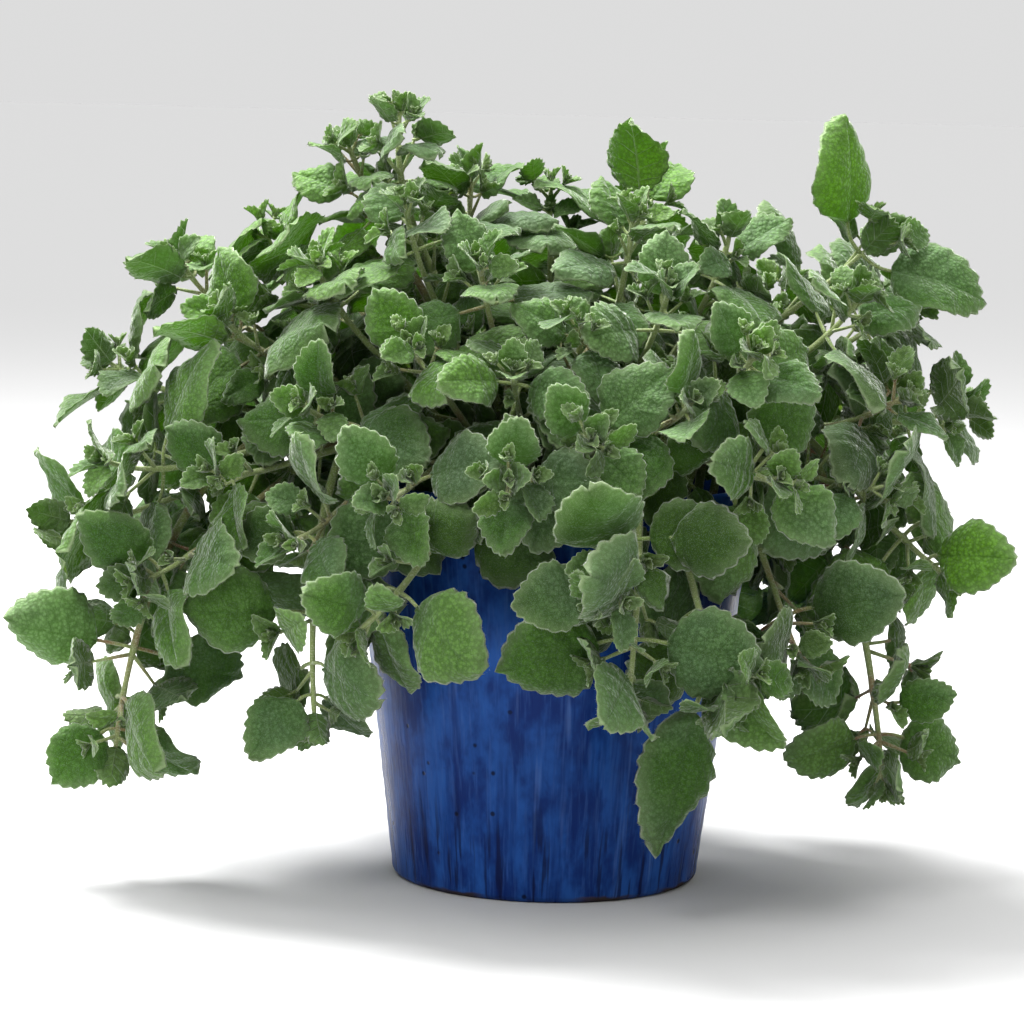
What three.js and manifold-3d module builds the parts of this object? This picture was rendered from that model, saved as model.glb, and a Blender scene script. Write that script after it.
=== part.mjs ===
// A potted plectranthus: a glazed pot filled with soil, and a crown of square-stemmed leafy shoots
// that stand up, lean out and trail over the rim. Millimetres, +Z up. The origin is the centre of
// the pot's base, and the side that is looked at from the front is -Y.
import * as THREE from 'three';
import { mergeVertices } from 'three/addons/utils/BufferGeometryUtils.js';
import Module from 'manifold-3d';

const wasm = await Module();
wasm.setup();

// Pot
const POT_HEIGHT = 200;
const POT_BASE_RADIUS = 76.5;
const POT_RIM_RADIUS = 102;
const POT_WALL = 7;
const POT_FLOOR = 9;
const POT_FOOT_ROUND = 4;
const POT_LIP_ROUND = 2.2;
const POT_SEGMENTS = 30;
const DRAIN_RADIUS = 6;
const DRAIN_CIRCLE_RADIUS = 40;
const DRAIN_COUNT = 3;

// Soil
const SOIL_TOP = 185;
const CLEARANCE = 0.35;

// Roots and stems
const HOLE_DEPTH = 16;
const STEM_HALF_ROOT = 2.3;
const STEM_HALF_TIP = 1.1;
const STEM_TAPER_LENGTH = 110;
const STEM_STEP = 90;
const STEM_TURN = 46;
const ROOT_SPREAD = 80;
const ROOT_GAP = 13;
const CROWN_Z = 195;
const PATH_SAMPLES = 80;
const CLIMB_SHARE = 0.38;
const LEAN_SHARE = 0.36;
const ARCH_Z = 260;
const MOST_EXTRA_CLIMB = 76;
const FOOT_ABOVE_SOIL = 14;
const STEM_SPACE = 0.7;

// Leaves
const LEAF_GAPS = [4, 9, 15, 24, 30];
const LEAF_LENGTHS = [0.46, 0.8, 1.05, 1.05, 0.95];
const LEAF_RISES = [58, 34, 8, -14, -24];
const STEEPEST_RISE = 74;
const LEAF_SIDE_POINTS = [3, 4, 5, 5, 5];
const LEAF_WIDTH = 0.94;
const LEAF_THICKNESS = 1.4;
const LEAF_SPACE = 0.45;
const PETIOLE_HALF_WIDTH = 0.9;
const PETIOLE_HALF_HEIGHT = 0.7;
const PETIOLE_LENGTHS = [0, 0.2, 0.3, 0.36, 0.38];
const NODE_HALF = 1.4;
const SCALLOP = 0.13;
const LEAF_SAG = 0.1;
const CUP_START = 0.45;
const LIGHT_PULLS = [0, 0.6, 0.9, 1, 1];
const YOUNG_ROLL = 0.3;
const FRONT_PULL = 0.5;
const BACK_LINE = 70;
const SHORT_LEAF = 24;
const PROBE_HALF_WIDTH = 14;
const FLOOR_SPACE = 4;
const SEED = 4100;
const USUAL_LEAF = 42;

// What a leaf tries in turn when its place is taken: yaw, pitch and roll in degrees, and scale.
const BENDS = [
  [0, 0, 0, 1],
  [12, 6, 8, 1],
  [-12, 6, -8, 1],
  [0, 16, 0, 1],
  [0, -16, 0, 1],
  [24, 0, 16, 1],
  [-24, 0, -16, 1],
  [20, 18, -14, 0.95],
  [-20, 18, 14, 0.95],
  [22, -20, 10, 0.95],
  [-22, -20, -10, 0.95],
  [0, 32, 0, 0.92],
  [0, -34, 0, 0.92],
  [40, 8, 24, 0.9],
  [-40, 8, -24, 0.9],
  [34, 30, -20, 0.85],
  [-34, 30, 20, 0.85],
  [36, -32, 20, 0.85],
  [-36, -32, -20, 0.85],
  [0, 48, 0, 0.8],
  [0, -52, 0, 0.8],
  [54, 14, 30, 0.78],
  [-54, 14, -30, 0.78],
  [0, 10, 40, 0.72],
  [0, 10, -40, 0.72],
];

// What a stem tries in turn when its way is taken: how far it bows to one side, in millimetres,
// and how high it climbs before it leans out, as a share of its usual climb.
const SWAYS = [1, 1.25, 0.8, 1.5, 0.6].flatMap(
  (climb) => [0, 9, -9, 18, -18, 28, -28, 40, -40].map((bow) => [bow, climb]),
);

// One row a shoot: where its tip is, which way it grows there, its largest leaf's length, its
// pairs of leaves, how far it is turned round its own line, and how much its leaves lift. A
// pinched shoot has lost its tip with that many young pairs, and a lone leaf has lost its partner.
const SHOOTS = [
  // the crown
  { tip: [-108, 20, 366], grow: [-0.35, -0.1, 0.93], leaf: 28, pairs: 4, turn: 20, lift: 16 },
  { tip: [-80, 0, 385], grow: [0.15, -0.1, 1], leaf: 24, pairs: 4, turn: 70, lift: 20 },
  { tip: [-45, 40, 351], grow: [0.1, 0.1, 1], leaf: 41, pairs: 3, turn: 10, lift: 14 },
  { tip: [-75, -45, 337], grow: [-0.1, -0.45, 0.88], leaf: 38, pairs: 3, turn: 40, lift: 0 },
  { tip: [-5, 60, 346], grow: [0, 0.15, 1], leaf: 43, pairs: 3, turn: 80, lift: 8 },
  { tip: [36, -30, 335], grow: [0.05, -0.3, 0.95], leaf: 38, pairs: 3, turn: 30, lift: 6 },
  { tip: [45, 48, 351], grow: [0.1, 0.2, 0.97], leaf: 50, pairs: 3, turn: 5, lift: 26 },
  { tip: [85, 0, 327], grow: [0.15, -0.1, 1], leaf: 41, pairs: 3, turn: 60, lift: 6 },
  { tip: [154, 12, 318], grow: [0.7, -0.1, 0.72], leaf: 50, pairs: 3, pinched: 2, turn: 90, lift: 40, front: 5 },
  // the left shoulder
  { tip: [-150, 25, 324], grow: [-0.3, 0.05, 0.95], leaf: 47, pairs: 4, turn: 35, lift: 16 },
  { tip: [-194, 40, 305], grow: [-0.5, 0.1, 0.85], leaf: 45, pairs: 3, turn: 80, lift: 10 },
  { tip: [-165, -35, 280], grow: [-0.55, -0.45, 0.7], leaf: 50, pairs: 4, turn: 15, lift: 8 },
  { tip: [-118, -50, 308], grow: [-0.25, -0.45, 0.85], leaf: 43, pairs: 3, turn: 50, lift: 4 },
  // the upper front
  { tip: [-38, -76, 312], grow: [-0.1, -0.55, 0.83], leaf: 41, pairs: 3, turn: 25, lift: 4 },
  { tip: [11, -96, 284], grow: [0, -0.7, 0.7], leaf: 43, pairs: 3, turn: 65, lift: 0 },
  { tip: [53, -84, 301], grow: [0.15, -0.6, 0.78], leaf: 41, pairs: 3, turn: 5, lift: 4 },
  { tip: [94, -108, 274], grow: [0.2, -0.75, 0.62], leaf: 38, pairs: 3, turn: 40, lift: 2 },
  { tip: [147, -45, 298], grow: [0.4, -0.4, 0.82], leaf: 43, pairs: 3, turn: 75, lift: 6 },
  // the right shoulder
  { tip: [170, -52, 251], grow: [0.6, -0.5, 0.62], leaf: 38, pairs: 3, turn: 30, lift: 4 },
  { tip: [179, 22, 295], grow: [0.7, 0.05, 0.7], leaf: 50, pairs: 3, turn: 88, lift: 0 },
  { tip: [206, 8, 240], grow: [0.9, -0.15, 0.4], leaf: 50, pairs: 4, turn: 50, lift: 6 },
  { tip: [160, -72, 208], grow: [0.65, -0.65, 0.4], leaf: 43, pairs: 3, turn: 10, lift: 0 },
  // the middle of the front
  { tip: [-69, -96, 271], grow: [-0.25, -0.8, 0.55], leaf: 43, pairs: 3, turn: 45, lift: 0 },
  { tip: [-120, -96, 242], grow: [-0.45, -0.75, 0.5], leaf: 43, pairs: 3, turn: 0, lift: 0 },
  { tip: [-20, -118, 262], grow: [0, -0.85, 0.5], leaf: 41, pairs: 3, turn: 80, lift: 0 },
  { tip: [17, -146, 234], grow: [0.05, -0.93, 0.35], leaf: 38, pairs: 3, turn: 45, lift: 0 },
  { tip: [64, -128, 251], grow: [0.2, -0.85, 0.45], leaf: 41, pairs: 3, turn: 20, lift: 0 },
  { tip: [-21, -152, 214], grow: [-0.05, -0.95, 0.3], leaf: 38, pairs: 3, turn: 0, lift: 0 },
  { tip: [105, -126, 216], grow: [0.35, -0.88, 0.3], leaf: 43, pairs: 3, turn: 60, lift: 0 },
  // the left side
  { tip: [-228, 20, 253], grow: [-0.8, 0.1, 0.6], leaf: 48, pairs: 3, turn: 30, lift: 6 },
  { tip: [-220, -48, 209], grow: [-0.8, -0.4, 0.45], leaf: 50, pairs: 3, turn: 75, lift: 0 },
  { tip: [-246, 5, 172], grow: [-0.97, -0.05, 0.1], leaf: 50, pairs: 3, turn: 10, lift: 0 },
  { tip: [-165, -78, 208], grow: [-0.6, -0.7, 0.4], leaf: 45, pairs: 3, turn: 45, lift: 0 },
  { tip: [-200, -70, 152], grow: [-0.75, -0.6, -0.1], leaf: 50, pairs: 3, turn: 20, lift: 0 },
  { tip: [-126, -104, 178], grow: [-0.5, -0.8, 0.2], leaf: 43, pairs: 3, turn: 70, lift: 0 },
  { tip: [-78, -134, 203], grow: [-0.3, -0.92, 0.25], leaf: 41, pairs: 3, turn: 35, lift: 0 },
  // the skirt that hangs over the rim
  { tip: [-92, -124, 137], grow: [-0.35, -0.7, -0.6], leaf: 47, pairs: 3, turn: 0, lift: 0 },
  { tip: [-112, -84, 88], grow: [-0.02, -0.05, -1], leaf: 43, pairs: 4, turn: 40, lift: 0 },
  { tip: [-214, -34, 60], grow: [-0.1, -0.05, -1], leaf: 46, pairs: 4, turn: 10, lift: 0, front: 1 },
  { tip: [22, -172, 160], grow: [0.05, -0.95, -0.25], leaf: 50, pairs: 3, turn: 85, lift: 0 },
  { tip: [37, -150, 111], grow: [0.05, -0.2, -0.97], leaf: 50, pairs: 4, turn: 30, lift: 0 },
  { tip: [82, -142, 122], grow: [0.6, -0.3, -0.7], leaf: 66, pairs: 3, pinched: 2, turn: 90, lift: 26, front: 2, lone: true, slim: 0.6 },
  { tip: [120, -104, 124], grow: [0.5, -0.5, -0.7], leaf: 45, pairs: 3, turn: 60, lift: 0 },
  { tip: [166, -48, 56], grow: [0.15, -0.15, -0.97], leaf: 38, pairs: 4, turn: 25, lift: 0 },
  { tip: [197, -26, 158], grow: [0.8, -0.3, -0.5], leaf: 50, pairs: 4, turn: 40, lift: 0, front: 2 },
  // the back
  { tip: [-118, 108, 300], grow: [-0.35, 0.5, 0.8], leaf: 45, pairs: 3, turn: 15, lift: 4 },
  { tip: [-38, 132, 308], grow: [-0.1, 0.6, 0.8], leaf: 45, pairs: 3, turn: 60, lift: 4 },
  { tip: [46, 128, 312], grow: [0.15, 0.55, 0.82], leaf: 45, pairs: 3, turn: 30, lift: 4 },
  { tip: [122, 98, 294], grow: [0.45, 0.45, 0.78], leaf: 47, pairs: 3, turn: 75, lift: 4 },
  { tip: [176, 102, 232], grow: [0.75, 0.5, 0.45], leaf: 47, pairs: 3, turn: 20, lift: 0 },
  { tip: [108, 158, 232], grow: [0.5, 0.75, 0.42], leaf: 47, pairs: 3, turn: 50, lift: 0 },
  { tip: [22, 182, 238], grow: [0.1, 0.9, 0.42], leaf: 47, pairs: 3, turn: 5, lift: 0 },
  { tip: [-66, 172, 236], grow: [-0.3, 0.85, 0.42], leaf: 47, pairs: 3, turn: 40, lift: 0 },
  { tip: [-148, 142, 228], grow: [-0.65, 0.65, 0.4], leaf: 47, pairs: 3, turn: 70, lift: 0 },
  { tip: [-200, 92, 188], grow: [-0.85, 0.45, 0.1], leaf: 47, pairs: 3, turn: 25, lift: 0 },
  { tip: [-104, 166, 146], grow: [-0.5, 0.75, -0.4], leaf: 47, pairs: 3, turn: 55, lift: 0 },
  { tip: [10, 180, 140], grow: [0, 0.85, -0.5], leaf: 47, pairs: 3, turn: 15, lift: 0 },
  { tip: [122, 142, 130], grow: [0.6, 0.6, -0.5], leaf: 47, pairs: 3, turn: 80, lift: 0 },
];

const UP = new THREE.Vector3(0, 0, 1);
const FRONT = new THREE.Vector3(0, -1, 0);
const RAD = Math.PI / 180;

// Small helpers

// A point moved along any number of scaled directions.
function offset(point, ...steps) {
  const moved = point.clone();
  for (const [direction, length] of steps) {
    moved.addScaledVector(direction, length);
  }
  return moved;
}

const sum = (...steps) => offset(new THREE.Vector3(), ...steps);
const cross = (a, b) => new THREE.Vector3().crossVectors(a, b);
const turned = (v, axis, degrees) => v.clone().applyAxisAngle(axis, degrees * RAD);

// The part of a direction that is square to an axis, at length 1.
const squared = (v, axis) => offset(v, [axis, -v.dot(axis)]).normalize();

// A seeded source of numbers from 0 to 1.
function draws(seed) {
  let state = seed >>> 0;
  return () => {
    state = (Math.imul(state, 1664525) + 1013904223) >>> 0;
    return state / 4294967296;
  };
}

// A surface that is being put together from points and triangles.
class Skin {
  constructor() {
    this.points = [];
    this.faces = [];
  }

  add(points) {
    return points.map((p) => this.points.push(p) - 1);
  }

  // A triangle with two like corners is no face, and is left out.
  face(a, b, c, flip = false) {
    if (a !== b && b !== c && c !== a) this.faces.push(flip ? [b, a, c] : [a, b, c]);
  }

  quad(a, b, c, d) {
    this.face(a, b, c);
    this.face(a, c, d);
  }

  geometry() {
    const places = this.points.flatMap((p) => [p.x, p.y, p.z]);
    const made = new THREE.BufferGeometry();
    made.setAttribute('position', new THREE.Float32BufferAttribute(places, 3));
    made.setIndex(this.faces.flat());
    return made;
  }
}

// Booleans

function solidOf(geometry) {
  const bare = geometry.clone();
  bare.deleteAttribute('normal');
  bare.deleteAttribute('uv');
  const merged = mergeVertices(bare, 1e-4);
  return new wasm.Manifold(new wasm.Mesh({
    numProp: 3,
    vertProperties: merged.attributes.position.array,
    triVerts: new Uint32Array(merged.index.array),
  }));
}

function geometryOf(solid) {
  const mesh = solid.getMesh();
  const made = new THREE.BufferGeometry();
  made.setAttribute('position', new THREE.BufferAttribute(mesh.vertProperties, 3));
  made.setIndex(new THREE.BufferAttribute(mesh.triVerts, 1));
  return made;
}

const boxOf = (points) => new THREE.Box3().setFromPoints(points);

// True where two solids share any room, each given with its box.
function meets(a, b) {
  if (!a.box.intersectsBox(b.box)) return false;
  const shared = a.solid.intersect(b.solid);
  const found = !shared.isEmpty();
  shared.delete();
  return found;
}

// Pot and soil

// A shape turned round the upright axis from a profile of radius and height.
function lathe(profile) {
  const outline = profile.map(([r, z]) => new THREE.Vector2(r, z));
  const made = new THREE.LatheGeometry(outline, POT_SEGMENTS);
  return made.rotateX(Math.PI / 2);
}

// The radius inside the pot's wall at a height.
function innerRadius(z) {
  const slope = (POT_RIM_RADIUS - POT_BASE_RADIUS) / POT_HEIGHT;
  return POT_BASE_RADIUS + slope * z - POT_WALL;
}

function potSolid() {
  const slope = (POT_RIM_RADIUS - POT_BASE_RADIUS) / POT_HEIGHT;
  const lip = POT_LIP_ROUND;
  const foot = POT_FOOT_ROUND;
  const rimInside = innerRadius(POT_HEIGHT);
  const body = solidOf(lathe([
    [0, 0],
    [POT_BASE_RADIUS - foot, 0],
    [POT_BASE_RADIUS - foot * 0.3, foot * 0.3],
    [POT_BASE_RADIUS + slope * foot, foot],
    [POT_RIM_RADIUS - slope * lip, POT_HEIGHT - lip],
    [POT_RIM_RADIUS - lip * 0.8, POT_HEIGHT],
    [rimInside + lip * 0.8, POT_HEIGHT],
    [innerRadius(POT_HEIGHT - lip), POT_HEIGHT - lip],
    [innerRadius(POT_FLOOR), POT_FLOOR],
    [0, POT_FLOOR],
  ]));
  let pierced = body;
  for (let i = 0; i < DRAIN_COUNT; i += 1) {
    const angle = (90 + (360 * i) / DRAIN_COUNT) * RAD;
    const drill = new THREE.CylinderGeometry(DRAIN_RADIUS, DRAIN_RADIUS, POT_FLOOR * 3, 8);
    drill.rotateX(Math.PI / 2);
    drill.translate(DRAIN_CIRCLE_RADIUS * Math.cos(angle), DRAIN_CIRCLE_RADIUS * Math.sin(angle), 0);
    pierced = pierced.subtract(solidOf(drill));
  }
  return pierced;
}

// The soil fills the pot. Each stem stands in a plain square hole along its own foot.
function soilSolid(feet) {
  const bottom = POT_FLOOR + CLEARANCE;
  let soil = solidOf(lathe([
    [0, bottom],
    [innerRadius(bottom) - CLEARANCE, bottom],
    [innerRadius(SOIL_TOP) - CLEARANCE, SOIL_TOP],
    [0, SOIL_TOP],
  ]));
  for (const foot of feet) {
    soil = soil.subtract(solidOf(foot));
  }
  return soil;
}

// Roots: each shoot comes up under its tip's bearing, further out the lower it hangs

function rootPlaces() {
  const places = SHOOTS.map(({ tip: [x, y, z] }) => {
    const out = Math.hypot(x, y);
    const fall = Math.atan2(out, z - CROWN_Z);
    const radius = ROOT_SPREAD * Math.min(1, fall / (0.62 * Math.PI));
    return new THREE.Vector2(x / out, y / out).multiplyScalar(radius);
  });
  for (let round = 0; round < 60; round += 1) {
    places.forEach((a, i) => places.slice(i + 1).forEach((b) => {
      const apart = b.clone().sub(a);
      const gap = apart.length();
      if (gap < ROOT_GAP) {
        apart.multiplyScalar((ROOT_GAP - gap) / gap / 2);
        a.sub(apart);
        b.add(apart);
      }
    }));
    places.forEach((p) => p.clampLength(0, ROOT_SPREAD));
  }
  return places;
}

// The line of a stem: up out of the soil, over and out to the tip

function stemPath(shoot, root, [bow, climbShare]) {
  const tip = new THREE.Vector3(...shoot.tip);
  const grow = new THREE.Vector3(...shoot.grow).normalize();
  const start = new THREE.Vector3(root.x, root.y, SOIL_TOP - HOLE_DEPTH);
  const reach = start.distanceTo(tip);
  const out = new THREE.Vector3(root.x, root.y, 0).normalize();
  const side = cross(UP, out);
  const lift = Math.min(MOST_EXTRA_CLIMB, Math.max(0, 0.9 * (ARCH_Z - tip.z)));
  const climb = climbShare * (CLIMB_SHARE * reach + lift);
  const hang = Math.max(0, POT_HEIGHT - tip.z) * Math.max(0, -grow.z);
  const curve = [
    start,
    offset(start, [UP, climb], [side, bow * 0.6]),
    offset(tip, [grow, -LEAN_SHARE * reach - hang], [side, bow]),
    tip,
  ];
  const at = (t) => {
    const s = 1 - t;
    const weights = [s * s * s, 3 * s * s * t, 3 * s * t * t, t * t * t];
    return sum(...curve.map((p, i) => [p, weights[i]]));
  };
  const along = (t) => {
    const s = 1 - t;
    const weights = [-s * s, s * s - 2 * s * t, 2 * s * t - t * t, t * t];
    return sum(...curve.map((p, i) => [p, weights[i]])).normalize();
  };
  // Lengths are measured back from the tip.
  const lengths = [0];
  for (let i = 1; i <= PATH_SAMPLES; i += 1) {
    const step = at(1 - (i - 1) / PATH_SAMPLES).distanceTo(at(1 - i / PATH_SAMPLES));
    lengths.push(lengths[i - 1] + step);
  }
  const timeAt = (length) => {
    const i = Math.min(PATH_SAMPLES, Math.max(1, lengths.findIndex((l) => l >= length)));
    const part = (length - lengths[i - 1]) / (lengths[i] - lengths[i - 1]);
    return 1 - (i - 1 + part) / PATH_SAMPLES;
  };
  // One side of the stem is followed from the tip down, so that the stem never twists.
  const sides = [turned(squared(cross(UP, grow), grow), grow, shoot.turn)];
  for (let i = 1; i <= PATH_SAMPLES; i += 1) {
    sides.push(squared(sides[i - 1], along(1 - i / PATH_SAMPLES)));
  }
  const sideAt = (t) => squared(sides[Math.floor((1 - t) * PATH_SAMPLES)], along(t));
  return { at, along, timeAt, sideAt, lengths, length: lengths[PATH_SAMPLES] };
}

// Lengths between two others along a path, closer together where it turns.
function spreadLengths(path, from, to) {
  const marks = [[from, 0]];
  for (const length of [...path.lengths.filter((l) => l > from && l < to), to]) {
    const [last, effort] = marks.at(-1);
    const turn = path.along(path.timeAt(last)).angleTo(path.along(path.timeAt(length))) / RAD;
    marks.push([length, effort + (length - last) / STEM_STEP + turn / STEM_TURN]);
  }
  const whole = marks.at(-1)[1];
  const steps = Math.max(1, Math.round(whole));
  return Array.from({ length: steps - 1 }, (_, i) => {
    const effort = (whole * (i + 1)) / steps;
    const k = marks.findIndex((mark) => mark[1] >= effort);
    const part = (effort - marks[k - 1][1]) / (marks[k][1] - marks[k - 1][1]);
    return marks[k - 1][0] + part * (marks[k][0] - marks[k - 1][0]);
  });
}

// Rings: the square sections of a stem from tip to root. A leaf pair has one ring on each side.

function stemRings(shoot, path) {
  const scale = shoot.leaf / USUAL_LEAF;
  const stations = [{ back: 0 }];
  let back = 0;
  const youngest = shoot.pinched ?? 0;
  for (let pair = youngest; pair < shoot.pairs; pair += 1) {
    back += pair === youngest ? LEAF_GAPS[0] : LEAF_GAPS[pair] * (0.4 + 0.6 * scale);
    stations.push({ back: back - NODE_HALF, pair }, { back: back + NODE_HALF });
  }
  const footTop = path.length - HOLE_DEPTH - FOOT_ABOVE_SOIL;
  for (const length of [...spreadLengths(path, back, footTop), footTop, path.length]) {
    stations.push({ back: length });
  }
  return stations.map(({ back: length, pair }) => {
    const t = path.timeAt(length);
    const centre = path.at(t);
    const grow = path.along(t);
    const normal = path.sideAt(t);
    const taper = Math.min(1, length / STEM_TAPER_LENGTH);
    const half = STEM_HALF_TIP + (STEM_HALF_ROOT - STEM_HALF_TIP) * taper;
    return { centre, grow, normal, side: cross(grow, normal), half, pair };
  });
}

// The four corners of a ring, anticlockwise seen from the tip.
function corners({ centre, normal, side, half }, grown = 0) {
  const h = half + grown;
  return [[1, 1], [-1, 1], [-1, -1], [1, -1]].map(
    ([n, s]) => offset(centre, [normal, n * h], [side, s * h]),
  );
}

// A closed square tube through rings that run from tip to root.
function tube(rings, grown = 0) {
  const skin = new Skin();
  const rows = rings.map((ring) => skin.add(corners(ring, grown)));
  rows.slice(1).forEach((low, i) => {
    for (let j = 0; j < 4; j += 1) {
      const k = (j + 1) % 4;
      skin.quad(low[j], low[k], rows[i][k], rows[i][j]);
    }
  });
  skin.quad(...rows[0]);
  skin.quad(...[...rows.at(-1)].reverse());
  return skin;
}

// The prism that a stem's foot leaves in the soil, a little wider and deeper than the foot.
function footPrism(rings) {
  const [top, bottom] = rings.slice(-2);
  const lower = { ...bottom, centre: offset(bottom.centre, [bottom.grow, -CLEARANCE]) };
  return tube([top, lower], CLEARANCE).geometry();
}

// Leaves

// A leaf's own draws, always taken in the same order.
function leafDraws(pair, next) {
  const spread = (size) => (next() * 2 - 1) * size;
  return {
    yaw: spread(12),
    pitch: spread(9),
    roll: spread(12),
    size: 1 + spread(0.1),
    bend: (0.25 + 0.12 * pair) * (0.6 + 0.8 * next()),
    cup: 0.42 - 0.16 * pair + spread(0.14),
    wave: 0.035 + 0.03 * next(),
    phase: next(),
    width: LEAF_WIDTH * (1 + spread(0.07)),
  };
}

// Where a leaf starts, which way it points and which way its upper side faces.
function placeLeaf(shoot, { ring, low, face, pair, drawn }, [yaw, pitch, roll, scale]) {
  const { grow, normal: out, side, half } = ring;
  const outward = [side, out.clone().negate(), side.clone().negate(), out][face];
  const rise = Math.min(STEEPEST_RISE, LEAF_RISES[pair] + shoot.lift) * RAD;
  const length = shoot.leaf * LEAF_LENGTHS[pair] * drawn.size * scale;
  const first = sum([outward, Math.cos(rise)], [grow, Math.sin(rise)], [UP, -LEAF_SAG * pair]).normalize();
  const fromCrown = offset(ring.centre, [UP, -CROWN_Z]).normalize();
  const front = shoot.front ?? FRONT_PULL * THREE.MathUtils.clamp(1 - shoot.tip[1] / BACK_LINE, -1, 1);
  const light = sum([UP, 0.7], [fromCrown, 1.2], [FRONT, front]).normalize();
  const byStem = pair ? THREE.MathUtils.clamp(0.5 + grow.z, 0.12, 1) : 1;
  const upper = squared(sum([squared(grow, first), byStem], [light, LIGHT_PULLS[pair]]), first);
  const across = cross(first, upper);
  const lifted = turned(first, across, pitch + drawn.pitch);
  const facing = turned(upper, across, pitch + drawn.pitch);
  const along = turned(lifted, facing, yaw + drawn.yaw);
  const normal = turned(facing, along, (roll + drawn.roll) * (pair ? 1 : YOUNG_ROLL));
  const stalk = length * PETIOLE_LENGTHS[pair];
  const stalkWay = sum([outward, 1], [along, 0.9]).normalize();
  const foot = offset(ring.centre.clone().lerp(low.centre, 0.5), [outward, half]);
  const [upperCorners, lowerCorners] = [corners(ring), corners(low)];
  const next = (face + 1) % 4;
  return {
    ...drawn,
    ring,
    face,
    outward,
    grow,
    quad: [lowerCorners[face], lowerCorners[next], upperCorners[next], upperCorners[face]],
    base: offset(foot, [stalkWay, stalk]),
    stalk,
    along,
    normal,
    length,
    width: drawn.width * (shoot.slim ?? 1),
    sidePoints: LEAF_SIDE_POINTS[pair],
  };
}

// Half the width of a blade, as a share of its greatest half width: broad near the base, blunt tip.
const bladeWidth = (u) => Math.sin(Math.PI * u ** 0.78) ** 0.6;

// A point of the blade's middle surface: u runs from base to tip and v from edge to edge.
function bladePoint(leaf, u, v) {
  const half = 0.5 * leaf.length * leaf.width * bladeWidth(u);
  const turn = leaf.bend * u;
  const right = cross(leaf.normal, leaf.along);
  const surface = sum([leaf.normal, Math.cos(turn)], [leaf.along, Math.sin(turn)]);
  const ripple = leaf.wave * leaf.length * Math.sin(2 * Math.PI * (1.4 * u + leaf.phase + 0.25 * Math.sign(v)));
  const edge = Math.abs(v);
  return offset(
    leaf.base,
    [leaf.along, leaf.length * (u - (leaf.bend ** 2 * u ** 3) / 6)],
    [leaf.normal, (-leaf.length * leaf.bend * u ** 2) / 2],
    [right, v * half * Math.cos(leaf.cup)],
    [surface, half * Math.sin(leaf.cup * Math.min(1, u / CUP_START)) * edge ** 1.5 + ripple * edge ** 2],
  );
}

// Which way the blade's upper side faces at its middle rib.
const bladeNormal = (leaf, u) => sum(
  [leaf.normal, Math.cos(leaf.bend * u)],
  [leaf.along, Math.sin(leaf.bend * u)],
);

// The scalloped edge from base to tip, the same on both sides: place along and place across.
function bladeEdge(leaf, grown) {
  return Array.from({ length: leaf.sidePoints }, (_, i) => ({
    u: (1 - Math.cos((Math.PI * (i + 1)) / (leaf.sidePoints + 1))) / 2,
    v: (i % 2 ? 1 - SCALLOP : 1) + grown,
  }));
}

// Adds a blade to a skin. The ring is its root: lower left, lower right, upper right, upper left.
// With some space given, the blade is that much larger all round, with a wall along its edge.
function addBlade(skin, leaf, ring, space = 0) {
  const [lowerLeft, lowerRight, upperRight, upperLeft] = ring;
  const half = (LEAF_THICKNESS / 2) * Math.min(1, 0.6 + leaf.length / 100) + space;
  const ribs = leaf.length > SHORT_LEAF ? [0.3, 0.68] : [0.4];
  const layer = (u, v, height) => offset(bladePoint(leaf, u, v), [bladeNormal(leaf, u), height]);
  const over = skin.add(ribs.map((u) => layer(u, 0, half)));
  const under = skin.add(ribs.map((u) => layer(u, 0, -half)));
  const tips = skin.add([layer(1, 0, space), ...(space ? [layer(1, 0, -space)] : [])]);
  for (const side of [-1, 1]) {
    const flip = side > 0;
    const edge = bladeEdge(leaf, space / PROBE_HALF_WIDTH);
    const rows = (space ? [space, -space] : [0]).map((height) => [
      ...skin.add(edge.map(({ u, v }) => layer(u, side * v, height))),
      tips[height < 0 ? 1 : 0],
    ]);
    const top = [flip ? upperRight : upperLeft, ...rows[0]];
    const bottom = [flip ? lowerRight : lowerLeft, ...rows.at(-1)];
    const places = [0, ...edge.map(({ u }) => u), 1];
    let rib = 0;
    for (let i = 0; i + 1 < places.length; i += 1) {
      const middle = (places[i] + places[i + 1]) / 2;
      if (rib + 1 < ribs.length && middle > (ribs[0] + ribs[1]) / 2) {
        skin.face(top[i], over[1], over[0], flip);
        skin.face(bottom[i], under[1], under[0], !flip);
        rib += 1;
      }
      skin.face(top[i], top[i + 1], over[rib], flip);
      skin.face(bottom[i], bottom[i + 1], under[rib], !flip);
      skin.face(top[i + 1], top[i], bottom[i], flip);
      skin.face(top[i + 1], bottom[i], bottom[i + 1], flip);
    }
  }
  skin.face(upperLeft, over[0], upperRight);
  skin.face(lowerRight, under[0], lowerLeft);
}

// The four corners where a petiole becomes a blade.
function bladeRoot(leaf, space = 0) {
  const right = cross(leaf.normal, leaf.along);
  const w = PETIOLE_HALF_WIDTH + space;
  const h = PETIOLE_HALF_HEIGHT + space;
  return [[-1, -1], [1, -1], [1, 1], [-1, 1]].map(
    ([r, n]) => offset(leaf.base, [right, r * w], [leaf.normal, n * h]),
  );
}

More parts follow.
